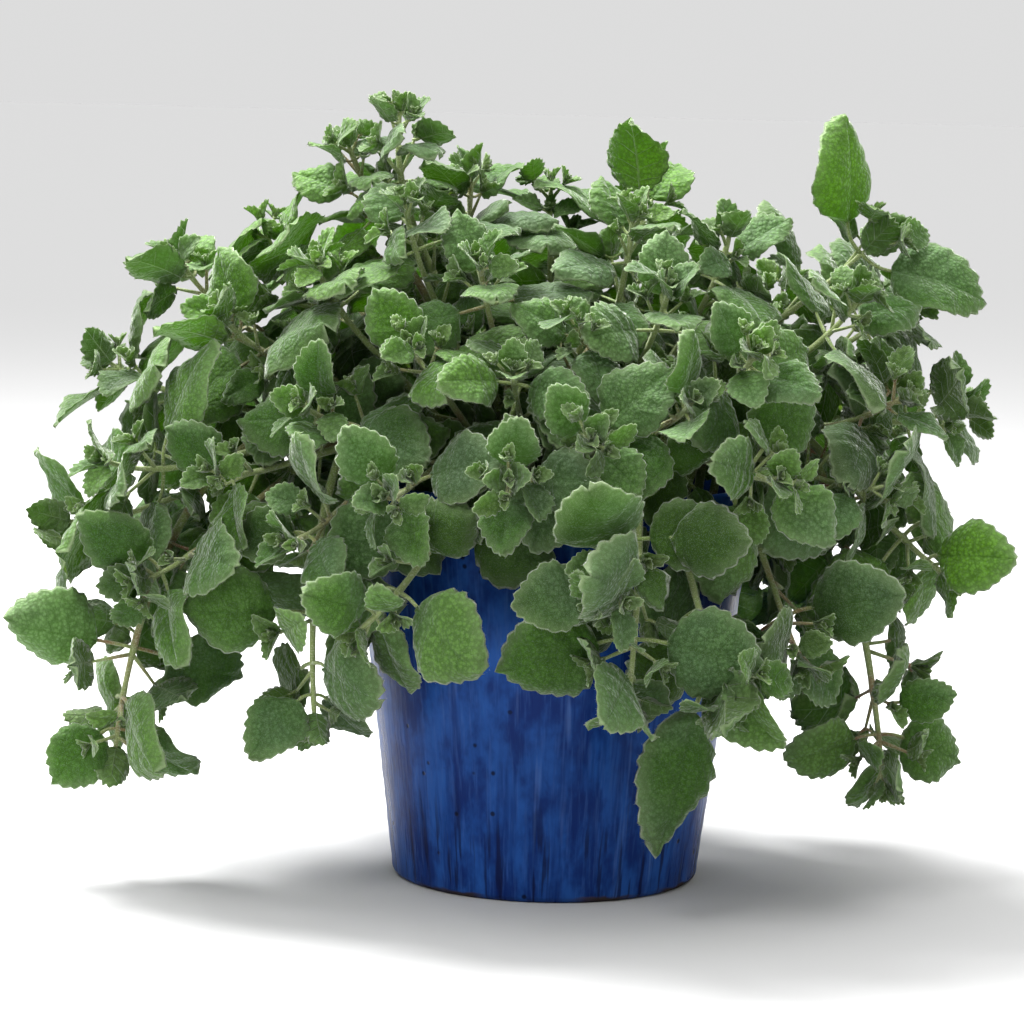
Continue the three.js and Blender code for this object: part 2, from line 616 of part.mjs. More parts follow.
// Grows a leaf out of an open quad of a skin, turned by whole corners to twist its stalk least.
function addLeaf(skin, leaf, quad, space = 0) {
  const faceRight = cross(leaf.grow, leaf.outward);
  const twist = Math.atan2(leaf.normal.dot(faceRight), leaf.normal.dot(leaf.grow));
  const shift = 4 - Math.round(twist / (Math.PI / 2));
  const ring = [0, 1, 2, 3].map((i) => quad[(i + shift) % 4]);
  if (!leaf.stalk) {
    addBlade(skin, leaf, ring, space);
    return;
  }
  const end = skin.add(bladeRoot(leaf, space));
  for (let i = 0; i < 4; i += 1) {
    const k = (i + 1) % 4;
    skin.quad(ring[i], ring[k], end[k], end[i]);
  }
  addBlade(skin, leaf, end, space);
}

// A leaf as a closed solid of its own, whole with its stalk or the blade alone.
function leafBody(leaf, space, whole) {
  const skin = new Skin();
  const quad = skin.add(whole ? leaf.quad : bladeRoot(leaf, space));
  skin.quad(...[...quad].reverse());
  if (whole) {
    addLeaf(skin, leaf, quad, space);
  } else {
    addBlade(skin, leaf, quad, space);
  }
  return { solid: solidOf(skin.geometry()), box: boxOf(skin.points) };
}

// The places of a shoot's leaves: each pair stands crosswise to the pair before it.
function leafPlaces(shoot, index, rings) {
  const next = draws(SEED + index);
  const places = [];
  rings.forEach((ring, i) => {
    if (ring.pair === undefined) return;
    const faces = ring.pair % 2 ? [0, 2] : [3, 1];
    for (const face of faces.slice(shoot.lone ? 1 : 0)) {
      places.push({ ring, low: rings[i + 1], face, pair: ring.pair, drawn: leafDraws(ring.pair, next) });
    }
  });
  return places;
}

// Tries a leaf's bends in turn, and gives the first leaf that is clear of everything else.
function fitLeaf(shoot, place, stem, taken) {
  for (const bend of BENDS) {
    const leaf = placeLeaf(shoot, place, bend);
    const probe = leafBody(leaf, LEAF_SPACE, true);
    let clear = probe.box.min.z > FLOOR_SPACE && !taken.some((other) => other !== stem && meets(probe, other));
    probe.solid.delete();
    if (clear && leaf.stalk) {
      const blade = leafBody(leaf, LEAF_SPACE, false);
      clear = !meets(blade, stem);
      blade.solid.delete();
    }
    if (clear) return leaf;
  }
  return null;
}

// One leafy stem as a single closed surface: leaves grow out of the square stem's faces.
function leafyStem(rings, leaves) {
  const skin = new Skin();
  const rows = rings.map((ring) => skin.add(corners(ring)));
  rows.slice(1).forEach((low, i) => {
    for (let j = 0; j < 4; j += 1) {
      const k = (j + 1) % 4;
      const quad = [low[j], low[k], rows[i][k], rows[i][j]];
      const leaf = leaves.find((l) => l.ring === rings[i] && l.face === j);
      if (leaf) {
        addLeaf(skin, leaf, quad);
      } else {
        skin.quad(...quad);
      }
    }
  });
  skin.quad(...rows[0]);
  skin.quad(...[...rows.at(-1)].reverse());
  return skin.geometry();
}

// Materials

const glaze = () => new THREE.MeshStandardMaterial({ color: 0x25417a, roughness: 0.25, metalness: 0 });
const earth = () => new THREE.MeshStandardMaterial({ color: 0x2e2219, roughness: 1, metalness: 0 });
const foliage = (tone) => new THREE.MeshStandardMaterial({
  color: new THREE.Color().setHSL(0.27 + 0.03 * tone, 0.3 + 0.1 * tone, 0.3 + 0.06 * tone),
  roughness: 0.85,
  metalness: 0,
});

// Assembly

function named(name, geometry, material) {
  const flat = geometry.toNonIndexed();
  flat.computeVertexNormals();
  const mesh = new THREE.Mesh(flat, material);
  mesh.name = name;
  return mesh;
}

const pot = potSolid();
const potRoom = new THREE.Box3(
  new THREE.Vector3(-POT_RIM_RADIUS, -POT_RIM_RADIUS, 0),
  new THREE.Vector3(POT_RIM_RADIUS, POT_RIM_RADIUS, POT_HEIGHT),
);
const taken = [{ solid: pot, box: potRoom }];

// The stems first, each bowed clear of those before it.
const stems = [];
rootPlaces().forEach((root, index) => {
  const shoot = SHOOTS[index];
  let chosen = null;
  for (const sway of SWAYS) {
    const rings = stemRings(shoot, stemPath(shoot, root, sway));
    const probe = tube(rings, STEM_SPACE);
    const body = { solid: solidOf(probe.geometry()), box: boxOf(probe.points) };
    const clear = !taken.some((other) => meets(body, other));
    body.solid.delete();
    if (clear) {
      chosen = rings;
      break;
    }
  }
  if (!chosen) throw new Error(`no way clear for the stem of shoot ${index + 1}`);
  const skin = tube(chosen);
  const body = { solid: solidOf(skin.geometry()), box: boxOf(skin.points) };
  taken.push(body);
  stems.push({ shoot, rings: chosen, body, places: leafPlaces(shoot, index, chosen), leaves: [] });
});

const soil = soilSolid(stems.map(({ rings }) => footPrism(rings)));
taken.push({ solid: soil, box: potRoom });

// Then the leaves, the largest pairs of every shoot before the smaller ones nearer the tips.
for (let pair = LEAF_LENGTHS.length - 1; pair >= 0; pair -= 1) {
  for (const stem of stems) {
    for (const place of stem.places.filter((p) => p.pair === pair)) {
      const leaf = fitLeaf(stem.shoot, place, stem.body, taken);
      if (leaf) {
        stem.leaves.push(leaf);
        taken.push(leafBody(leaf, 0, true));
      }
    }
  }
}

const plant = new THREE.Group();
plant.add(named('pot', geometryOf(pot), glaze()));
plant.add(named('soil', geometryOf(soil), earth()));
stems.forEach(({ rings, leaves }, index) => {
  const name = `leafy_stem_${String(index + 1).padStart(2, '0')}`;
  plant.add(named(name, leafyStem(rings, leaves), foliage((index % 4) / 3)));
});

export default plant;
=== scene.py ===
# %% [markdown]
# # A potted plectranthus
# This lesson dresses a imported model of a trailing, woolly-leaved herb in its blue glazed pot.
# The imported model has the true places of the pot, the soil and 58 leafy stems, with simple
# faceted leaves. Here each of them gets the finer piece that stands for it: leaves with
# scalloped, pale edges, veins and hairs, stems with rounded corners, and a pot with its glaze.
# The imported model's places are read at the start, and nothing else is read from outside.

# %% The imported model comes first
import math
from bisect import bisect_left
from types import SimpleNamespace

import bpy
import numpy as np
from mathutils import Matrix, Quaternion, Vector, noise
from mathutils.bvhtree import BVHTree
from mathutils.kdtree import KDTree


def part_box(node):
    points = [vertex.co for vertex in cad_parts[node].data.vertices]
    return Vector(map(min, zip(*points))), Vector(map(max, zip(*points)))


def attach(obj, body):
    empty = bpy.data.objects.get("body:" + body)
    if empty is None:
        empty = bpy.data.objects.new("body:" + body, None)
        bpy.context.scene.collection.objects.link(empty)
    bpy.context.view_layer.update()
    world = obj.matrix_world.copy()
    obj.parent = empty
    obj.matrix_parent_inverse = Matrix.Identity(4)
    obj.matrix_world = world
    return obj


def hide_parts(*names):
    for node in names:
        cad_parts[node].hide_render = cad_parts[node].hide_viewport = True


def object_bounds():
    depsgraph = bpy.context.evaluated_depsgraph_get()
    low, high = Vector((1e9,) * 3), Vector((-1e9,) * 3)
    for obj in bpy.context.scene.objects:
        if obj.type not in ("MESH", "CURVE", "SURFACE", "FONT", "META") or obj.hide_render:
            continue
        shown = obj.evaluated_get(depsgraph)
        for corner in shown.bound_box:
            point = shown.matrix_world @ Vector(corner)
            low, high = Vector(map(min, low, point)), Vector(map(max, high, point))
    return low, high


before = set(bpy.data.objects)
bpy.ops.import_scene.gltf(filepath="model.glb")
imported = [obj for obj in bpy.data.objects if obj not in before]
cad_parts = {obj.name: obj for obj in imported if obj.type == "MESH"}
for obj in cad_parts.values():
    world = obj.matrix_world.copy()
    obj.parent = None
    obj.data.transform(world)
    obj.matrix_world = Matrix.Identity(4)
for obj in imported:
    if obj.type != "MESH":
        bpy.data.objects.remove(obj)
cad_low, cad_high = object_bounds()
MM = 0.001
print("nodes:", len(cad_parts), "box:", [round(v, 3) for v in (*cad_low, *cad_high)])

# %% [markdown]
# ## The camera
# The photograph looks a little down at the pot from its front, from about two metres, so its
# rim and its base curve almost alike. The pot's axis leans a touch to the right in the picture,
# which is a roll of the camera. A camera can be aimed with a constraint, but three directions
# written out are plain to read and give the roll directly.

# %% The camera at the photograph's viewing angle
PICTURE = 1024
LOOK_DOWN = math.radians(6)
ROLL = math.radians(1.4)
DISTANCE = 1.9
PIXELS_PER_METRE = 2000
SENSOR = 36
AIM = Vector((0, 0, 0.2))
AIM_IN_PICTURE = (553.5, 478)


def photo_camera():
    forward = Vector((0, math.cos(LOOK_DOWN), -math.sin(LOOK_DOWN)))
    level = Vector((1, 0, 0))
    steep = level.cross(forward)
    right = level * math.cos(ROLL) + steep * math.sin(ROLL)
    up = steep * math.cos(ROLL) - level * math.sin(ROLL)
    data = bpy.data.cameras.new("photo camera")
    data.sensor_width = SENSOR
    data.lens = SENSOR * PIXELS_PER_METRE * DISTANCE / PICTURE
    data.shift_x = (PICTURE / 2 - AIM_IN_PICTURE[0]) / PICTURE
    data.shift_y = (AIM_IN_PICTURE[1] - PICTURE / 2) / PICTURE
    data.clip_start = 0.05
    data.clip_end = 50
    camera = bpy.data.objects.new("photo camera", data)
    turn = Matrix((right, up, -forward)).transposed().to_4x4()
    camera.matrix_world = Matrix.Translation(AIM - forward * DISTANCE) @ turn
    bpy.context.collection.objects.link(camera)
    bpy.context.scene.camera = camera
    return camera


camera = photo_camera()
print("lens:", round(camera.data.lens, 1), "mm")

# %% [markdown]
# ## Small tools for shader nodes
# A material here is a small graph of nodes, and so is the sky. Writing each node in full takes
# many lines, so a helper adds a node, sets its fields and fills or links its inputs in one call.

# %% A short way to write shader nodes


def srgb(red, green, blue):
    """A colour read as 8-bit sRGB, as the linear colour that a shader wants."""
    linear = [(c / 255 / 12.92) if c < 10 else ((c / 255 + 0.055) / 1.055) ** 2.4
              for c in (red, green, blue)]
    return (*linear, 1)


class Nodes:
    """A node tree, with calls that add a node."""

    def __init__(self, tree):
        self.tree = tree

    def node(self, kind, inputs=None, **fields):
        made = self.tree.nodes.new("ShaderNode" + kind)
        for field, value in fields.items():
            setattr(made, field, value)
        for key, value in (inputs or {}).items():
            socket = made.inputs[key]
            if isinstance(value, bpy.types.NodeSocket):
                self.tree.links.new(value, socket)
            else:
                socket.default_value = value
        return made

    def math(self, operation, a, b=0.0):
        return self.node("Math", {0: a, 1: b}, operation=operation).outputs[0]

    def mix(self, share, a, b):
        return self.node("Mix", {0: share, 6: a, 7: b}, data_type="RGBA").outputs[2]

    def band(self, value, low, high, to_low=0.0, to_high=1.0):
        """Runs smoothly from to_low to to_high while value runs from low to high."""
        limits = {0: value, 1: low, 2: high, 3: to_low, 4: to_high}
        return self.node("MapRange", limits, interpolation_type="SMOOTHSTEP").outputs[0]

    def noise(self, scale, where, detail=3.0, roughness=0.55):
        fields = {"Vector": where, "Scale": scale, "Detail": detail, "Roughness": roughness}
        return self.node("TexNoise", fields).outputs[0]

    def cells(self, scale, where):
        """How far each place is from the middle of its cell, and a random colour for each cell."""
        made = self.node("TexVoronoi", {"Vector": where, "Scale": scale}, feature="F1")
        return made.outputs["Distance"], made.outputs["Color"]


class Shader(Nodes):
    """The node tree of a new material."""

    def __init__(self, name):
        self.material = bpy.data.materials.new(name)
        self.material.use_nodes = True
        super().__init__(self.material.node_tree)
        self.tree.nodes.clear()

    def place(self):
        return self.node("TexCoord").outputs["Object"]

    def finish(self, surface):
        self.node("OutputMaterial", {"Surface": surface})
        return self.material


print("leaf green, linear:", [round(c, 3) for c in srgb(100, 130, 70)[:3]])

# %% [markdown]
# ## Light and floor
# The plant stood under a bright, even sky, which came down on it from behind and above: upper
# leaves are pale, some glow with light from behind, and the inside of the crown is nearly
# black. So the sky is strongest overhead and weak lower down, and a large soft lamp high up
# behind the left shoulder adds the direction, with a weaker one in front. A narrow band at the
# horizon is brighter, so that the far end of the floor and the sky meet without a line. One
# even sky would be simpler, but it fills the crown with light. The floor is a plain pale
# sheet and isn't part of the object.

# %% A plain floor, a sky and two soft lamps
FLOOR_SIZE = 80
FLOOR_TONE = 0.5
SKY_AT_HORIZON = 0.72
SKY_LOW = 0.14
SKY_HIGH = 2.6
HORIZON_BAND = (0.06, 0.18)
UPPER_BAND = (0.35, 1)


def plain_floor():
    half = FLOOR_SIZE / 2
    mesh = bpy.data.meshes.new("floor")
    corners = [(-half, -half, 0), (half, -half, 0), (half, half, 0), (-half, half, 0)]
    mesh.from_pydata(corners, [], [(0, 1, 2, 3)])
    floor = bpy.data.objects.new("floor", mesh)
    bpy.context.collection.objects.link(floor)
    pale = bpy.data.materials.new("pale floor")
    pale.use_nodes = True
    surface = pale.node_tree.nodes["Principled BSDF"].inputs
    surface["Base Color"].default_value = (FLOOR_TONE, FLOOR_TONE, FLOOR_TONE, 1)
    surface["Roughness"].default_value = 0.9
    mesh.materials.append(pale)


def pale_sky():
    """A white sky whose strength depends on how steeply one looks up."""
    world = bpy.context.scene.world or bpy.data.worlds.new("sky")
    bpy.context.scene.world = world
    world.use_nodes = True
    s = Nodes(world.node_tree)
    way = s.node("TexCoord").outputs["Generated"]
    steepness = s.node("SeparateXYZ", {0: way}).outputs["Z"]
    horizon = s.band(steepness, *HORIZON_BAND, SKY_AT_HORIZON - SKY_LOW, 0)
    upper = s.band(steepness, *UPPER_BAND, SKY_LOW, SKY_HIGH)
    background = s.tree.nodes["Background"].inputs
    background["Color"].default_value = (1, 1, 1, 1)
    s.tree.links.new(s.math("ADD", horizon, upper), background["Strength"])


def soft_lamp(name, place, aim, size, power):
    data = bpy.data.lights.new(name, "AREA")
    data.shape = "DISK"
    data.size = size
    data.energy = power
    lamp = bpy.data.objects.new(name, data)
    lamp.location = place
    lamp.rotation_mode = "QUATERNION"
    lamp.rotation_quaternion = (Vector(aim) - Vector(place)).to_track_quat("-Z", "Y")
    bpy.context.collection.objects.link(lamp)


plain_floor()
pale_sky()
soft_lamp("sky lamp", place=(-0.7, 0.8, 1.9), aim=(0, 0, 0.25), size=0.9, power=135)
soft_lamp("front lamp", place=(-0.9, -1.6, 2.1), aim=(0, 0, 0.2), size=1.0, power=24)
bpy.context.scene.view_settings.view_transform = "Standard"

# %% [markdown]
# ## Points and faces
# Over a thousand leaves are made here, so meshes are put together from arrays and not from
# single calls. A Skin gathers points, faces, a flat coordinate for each point and a colour
# attribute that tells the shader what the point is. Sizes are millimetres until the last step.

# %% A skin that gathers points and faces


class Skin:
    """Points and faces on their way to one mesh. Faces have three or four corners."""

    def __init__(self):
        self.points, self.flat, self.marks = [], [], []
        self.faces = {3: [], 4: []}
        self.slots = {3: [], 4: []}
        self.count = 0

    def add(self, points, flat, marks):
        """Adds points with their flat coordinates and marks, and gives the first one's number."""
        first = self.count
        self.points.append(points)
        self.flat.append(flat)
        self.marks.append(np.broadcast_to(marks, (len(points), 4)))
        self.count += len(points)
        return first

    def join(self, faces, slot=0):
        """Adds triangles or quads, one row of point numbers each."""
        corners = faces.shape[1]
        self.faces[corners].append(faces)
        self.slots[corners].append(np.full(len(faces), slot))

    def triangles(self):
        return sum(len(f) * (c - 2) for c in (3, 4) for f in self.faces[c])

    def piece(self, name, materials):
        """Turns everything gathered into one smooth Blender object."""
        points = np.concatenate(self.points) * MM
        loops = np.concatenate([f.ravel() for c in (3, 4) for f in self.faces[c]])
        used, loops = np.unique(loops, return_inverse=True)
        points = points[used]
        sizes = np.concatenate([np.full(len(f), c) for c in (3, 4) for f in self.faces[c]])
        slots = np.concatenate([s for c in (3, 4) for s in self.slots[c]])
        mesh = bpy.data.meshes.new(name)
        mesh.vertices.add(len(points))
        mesh.vertices.foreach_set("co", points.astype(np.float32).ravel())
        mesh.loops.add(len(loops))
        mesh.loops.foreach_set("vertex_index", loops.astype(np.int32))
        mesh.polygons.add(len(sizes))
        starts = np.concatenate([[0], np.cumsum(sizes)[:-1]])
        mesh.polygons.foreach_set("loop_start", starts.astype(np.int32))
        mesh.polygons.foreach_set("material_index", slots.astype(np.int32))
        mesh.polygons.foreach_set("use_smooth", np.ones(len(sizes), bool))
        flat = mesh.uv_layers.new(name="flat")
        places = np.concatenate(self.flat)[used][loops]
        flat.data.foreach_set("uv", places.astype(np.float32).ravel())
        marks = mesh.color_attributes.new(name="marks", type="FLOAT_COLOR", domain="POINT")
        colours = np.concatenate(self.marks)[used]
        marks.data.foreach_set("color", colours.astype(np.float32).ravel())
        mesh.update(calc_edges=True)
        for material in materials:
            mesh.materials.append(material)
        made = bpy.data.objects.new(name, mesh)
        bpy.context.collection.objects.link(made)
        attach(made, "root")
        return made


def tube_faces(rings, sides):
    """The quads of a tube of rings, each of as many points."""
    ring = np.arange(rings - 1)[:, None] * sides
    side = np.arange(sides)[None, :]
    after = (side + 1) % sides
    above = ring + sides
    quads = np.stack([ring + side, ring + after, above + after, above + side], axis=-1)
    return quads.reshape(-1, 4)


def fan_faces(ring, centre, flip=False):
    """Triangles that close a ring of points over a centre point."""
    after = np.roll(ring, -1)
    middle = np.full(len(ring), centre)
    return np.stack([after, ring, middle] if flip else [ring, after, middle], axis=-1)


print("a tube of 4 rings with 6 sides has", len(tube_faces(4, 6)), "faces")

# %% [markdown]
# ## The pot
# The real pot was thrown or moulded in clay, dipped in cobalt glaze and fired. Its wall is a
# straight taper with a rolled lip. It could be a lathed curve with a modifier. Rings of points
# worked out in code do the same and also carry the small unevenness of a hand-made wall.

# %% The pot's sizes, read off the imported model
pot_low, pot_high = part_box("pot")
POT_HEIGHT = (pot_high.z - pot_low.z) / MM
POT_BASE_RADIUS = 76.5
POT_RIM_RADIUS = 102.0
POT_WALL = 7.0
POT_FLOOR = 9.0
POT_FOOT_ROUND = 4.0
POT_LIP_ROUND = 2.6
POT_INNER_ROUND = 6.0
POT_SIDES = 168
WALL_RINGS = 44
INNER_RINGS = 16
MOST_SWELL = 0.55
DRAIN_RADIUS = 6.0
DRAIN_CIRCLE_RADIUS = 40.0
DRAIN_COUNT = 3
print("pot:", POT_HEIGHT, "mm high,", round((pot_high.x - pot_low.x) / MM / 2, 1), "mm radius")

# %% The pot's outline and its rings


def arc(centre, radius, start, end, steps):
    """Points of radius and height round a centre, from one angle to another, in degrees."""
    angles = np.radians(np.linspace(start, end, steps))
    return [(centre[0] + radius * math.cos(a), centre[1] + radius * math.sin(a)) for a in angles]


def outer_radius(z):
    """The radius of the wall's outside at a height."""
    return POT_BASE_RADIUS + (POT_RIM_RADIUS - POT_BASE_RADIUS) / POT_HEIGHT * z


def inner_radius(z):
    return outer_radius(z) - POT_WALL


def pot_outline():
    """Radius and height from the middle of the underside, up outside, over and down inside."""
    foot = POT_FOOT_ROUND
    lip = POT_LIP_ROUND
    top = POT_HEIGHT - lip
    low = POT_FLOOR + POT_INNER_ROUND
    wall = np.linspace(foot, POT_HEIGHT - lip * 1.4, WALL_RINGS)
    lines = [(r, 0.0) for r in (0.0, 20, 40, 55, 66)]
    lines += arc((outer_radius(foot) - foot, foot), foot, -90, -8, 7)
    lines += [(outer_radius(z), z) for z in wall[1:]]
    lines += arc((outer_radius(top) - lip, top), lip, 0, 90, 6)[1:]
    lines += arc((inner_radius(top) + lip, top), lip, 90, 180, 6)
    lines += [(inner_radius(z), z) for z in np.linspace(top, low, INNER_RINGS)[1:]]
    lines += arc((inner_radius(low) - POT_INNER_ROUND, low), POT_INNER_ROUND, 0, -90, 5)[1:]
    lines += [(r, POT_FLOOR) for r in (55, 30, 0.0)]
    return np.array(lines)


def hand_made(points):
    """Moves wall points by fractions of a millimetre, as a thrown wall and thick glaze do.
    The floor stays, and the wall sinks in by as much as it can swell."""
    x, y, z = points.T
    angle = np.arctan2(y, x)
    radius = np.hypot(x, y)
    on_wall = np.clip((radius - 60) / 12, 0, 1)
    out_of_round = 0.35 * np.sin(2 * angle + 1.1) + 0.22 * np.sin(3 * angle + z * 0.012)
    finger_marks = 0.10 * np.sin(z * 0.52) + 0.08 * np.sin(z * 0.21 + angle)
    runs = 0.25 * np.maximum(0, np.sin(17 * angle + 2.0 * np.sin(5 * angle))) ** 3
    runs *= np.clip((60 - z) / 40, 0, 1) * np.clip(z / 6, 0, 1)
    shift = (out_of_round + finger_marks + runs - MOST_SWELL) * on_wall
    return points + np.stack([np.cos(angle), np.sin(angle), 0 * z], -1) * shift[:, None]


def circle(sides):
    """The angles of points round a circle of radius 1, and their places."""
    angles = np.linspace(0, 2 * math.pi, sides, endpoint=False)
    return angles, np.stack([np.cos(angles), np.sin(angles)], axis=-1)


def pot_skin():
    outline = pot_outline()
    angles, ring = circle(POT_SIDES)
    rows = [np.column_stack([ring * r, np.full(POT_SIDES, z)]) for r, z in outline[1:-1]]
    skin = Skin()
    flat = np.tile(np.column_stack([angles / (2 * math.pi), 0 * angles]), (len(rows), 1))
    skin.add(hand_made(np.concatenate(rows)), flat, (0, 0, 0, 0))
    skin.join(tube_faces(len(rows), POT_SIDES))
    for (r, z), row, flip in ((outline[0], 0, True), (outline[-1], len(rows) - 1, False)):
        middle = skin.add(np.array([[r, 0, z]]), np.zeros((1, 2)), (0, 0, 0, 0))
        skin.join(fan_faces(row * POT_SIDES + np.arange(POT_SIDES), middle, flip))
    return skin


print("outline points:", len(pot_outline()))

# %% [markdown]
# ## The glaze
# Cobalt glaze runs as it melts: it pulls into upright streaks of lighter and darker blue, opens
# in pin holes and pits, and thins to brown and black at the foot, where it was wiped off or
# chipped. Streaks are noise that is stretched along the height. The angle round the pot is
# worked out from the place, so that the streaks stay upright all the way round.

# %% The glaze as a material
DEEP_BLUE, BRIGHT_BLUE = srgb(17, 43, 104), srgb(36, 82, 156)
STREAK_BLUE, LINE_BLUE, PALE_BLUE = srgb(16, 38, 98), srgb(56, 92, 158), srgb(96, 128, 188)
DRIP_BLACK, PIT_BLACK = srgb(16, 18, 46), srgb(12, 16, 30)
DARK_CLAY, PALE_CLAY = srgb(24, 20, 22), srgb(88, 74, 66)


def glaze():
    s = Shader("cobalt glaze")
    place = s.place()
    x, y, z = s.node("SeparateXYZ", {0: place}).outputs
    angle = s.math("ARCTAN2", y, x)
    turn = {0: s.math("COSINE", angle), 1: s.math("SINE", angle)}
    tall = s.node("CombineXYZ", {**turn, 2: s.math("MULTIPLY", z, 0.9)}).outputs[0]
    short = s.node("CombineXYZ", {**turn, 2: s.math("MULTIPLY", z, 6.0)}).outputs[0]

    # blues, from large to small
    clouds = s.noise(4.5, short, detail=4.0, roughness=0.62)
    streaks = s.noise(9.0, tall, detail=3.0, roughness=0.6)
    fine = s.noise(48.0, tall, detail=2.0, roughness=0.6)
    pale_runs = s.band(s.noise(14.0, tall, detail=2.0), 0.62, 0.74, 0.0, 0.3)
    blue = s.mix(s.band(clouds, 0.36, 0.64), DEEP_BLUE, BRIGHT_BLUE)
    blue = s.mix(s.band(streaks, 0.52, 0.34, 0.0, 0.65), blue, STREAK_BLUE)
    blue = s.mix(s.band(fine, 0.5, 0.72, 0.0, 0.35), blue, LINE_BLUE)
    blue = s.mix(pale_runs, blue, PALE_BLUE)

    # dark drips near the foot, and pits in one cell of six
    runs = s.band(s.noise(20.0, tall, detail=2.0), 0.56, 0.64)
    drips = s.math("MULTIPLY", runs, s.band(z, 0.07, 0.02))
    blue = s.mix(s.math("MULTIPLY", drips, 0.7), blue, DRIP_BLACK)
    distance, chance = s.cells(120.0, place)
    has_pit = s.band(s.node("SeparateColor", {0: chance}).outputs[0], 0.82, 0.84)
    pit = s.math("MULTIPLY", s.band(distance, 0.2, 0.1), has_pit)
    blue = s.mix(s.math("MULTIPLY", pit, 0.85), blue, PIT_BLACK)

    # bare clay at the foot's edge
    ragged = s.math("ADD", z, s.math("MULTIPLY", s.noise(70.0, place, detail=2.0), -0.006))
    chipped = s.band(s.noise(1.3, tall, detail=1.0), 0.42, 0.56)
    bare = s.math("MULTIPLY", s.band(ragged, 0.0006, -0.0008), chipped)
    clay = s.mix(s.noise(180.0, place), DARK_CLAY, PALE_CLAY)

    # gloss and dents
    rough = s.math("ADD", s.band(streaks, 0.3, 0.7, 0.25, 0.38), s.math("MULTIPLY", bare, 0.45))
    dents = s.math("SUBTRACT", s.math("MULTIPLY", fine, 0.5), s.math("MULTIPLY", pit, 1.2))
    dents = s.math("ADD", dents, s.math("MULTIPLY", streaks, 0.9))
    bump = s.node("Bump", {"Strength": 0.25, "Distance": 0.0012, "Height": dents}).outputs[0]
    surface = s.node("BsdfPrincipled", {
        "Base Color": s.mix(bare, blue, clay),
        "Roughness": rough,
        "Normal": bump,
        "Specular IOR Level": 0.06,
    })
    return s.finish(surface.outputs[0])


pot = pot_skin().piece("glazed_pot", [glaze()])
print("pot triangles so far:", sum(len(p.vertices) - 2 for p in pot.data.polygons))

# %% [markdown]
# ## Holes in the pot's floor
# Water drains through three plain holes. They can be cut with a Boolean modifier, which is
# applied, so that the finished mesh has the holes and no modifier is left on it.

# %% Three drainage holes


def drill_holes(target):
    for i in range(DRAIN_COUNT):
        angle = math.radians(90 + 360 * i / DRAIN_COUNT)
        x = DRAIN_CIRCLE_RADIUS * MM * math.cos(angle)
        y = DRAIN_CIRCLE_RADIUS * MM * math.sin(angle)
        bpy.ops.mesh.primitive_cylinder_add(
            vertices=32, radius=DRAIN_RADIUS * MM, depth=4 * POT_FLOOR * MM, location=(x, y, 0)
        )
        drill = bpy.context.object
        cut = target.modifiers.new("drain", "BOOLEAN")
        cut.operation = "DIFFERENCE"
        cut.object = drill
        bpy.context.view_layer.objects.active = target
        bpy.ops.object.modifier_apply(modifier=cut.name)
        bpy.data.objects.remove(drill)


drill_holes(pot)
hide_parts("pot")
print("pot triangles:", sum(len(p.vertices) - 2 for p in pot.data.polygons))

# %% [markdown]
# ## The soil
# Potting soil is peat and bark with pale grains. Its top is seen only from above, between the
# stems. A disc that is pushed up and down by noise gives its lumps, and the colour comes from
# noise at two sizes. It keeps a hair's width clear of the pot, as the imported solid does.

# %% The soil
SOIL_TOP = 185.0
SOIL_GAP = 0.35
SOIL_RINGS = 44
SOIL_SIDES = 120
BLACK_PEAT, BROWN_PEAT, DAMP_PEAT = srgb(26, 19, 14), srgb(74, 56, 42), srgb(34, 26, 20)
PALE_GRAIN = srgb(176, 168, 150)


def lumps(x, y):
    """The height of the soil's lumps at each place, in millimetres."""
    return np.array([
        2.2 * noise.fractal(Vector((a * 0.06, b * 0.06, 0.5)), 0.9, 2.1, 4)
        + 1.1 * noise.cell(Vector((a * 0.28, b * 0.28, 2.0)))
        for a, b in zip(x, y)
    ])


def soil_skin():
    _, ring = circle(SOIL_SIDES)
    low = POT_FLOOR + SOIL_GAP
    wall = inner_radius(low) - SOIL_GAP - 1.0
    edge = inner_radius(SOIL_TOP) - SOIL_GAP
    rows = [(inner_radius(low) * 0.5, low), (wall, low)]
    rows += [(inner_radius(z) - SOIL_GAP - 0.9, z) for z in (60.0, 120.0, SOIL_TOP - 3)]
    rows += [(edge * (1 - i / SOIL_RINGS), SOIL_TOP) for i in range(SOIL_RINGS)]
    points = np.concatenate([np.column_stack([ring * r, np.full(SOIL_SIDES, z)]) for r, z in rows])
    top = points[:, 2] == SOIL_TOP
    points[top, 2] += lumps(*points[top, :2].T) - 1.0
    skin = Skin()
    skin.add(points, points[:, :2] * MM, (0, 0, 0, 0))
    skin.join(tube_faces(len(rows), SOIL_SIDES))
    for z, row, flip in ((low, 0, True), (SOIL_TOP, len(rows) - 1, False)):
        middle = skin.add(np.array([[0, 0, z]]), np.zeros((1, 2)), (0, 0, 0, 0))
        skin.join(fan_faces(row * SOIL_SIDES + np.arange(SOIL_SIDES), middle, flip))
    return skin


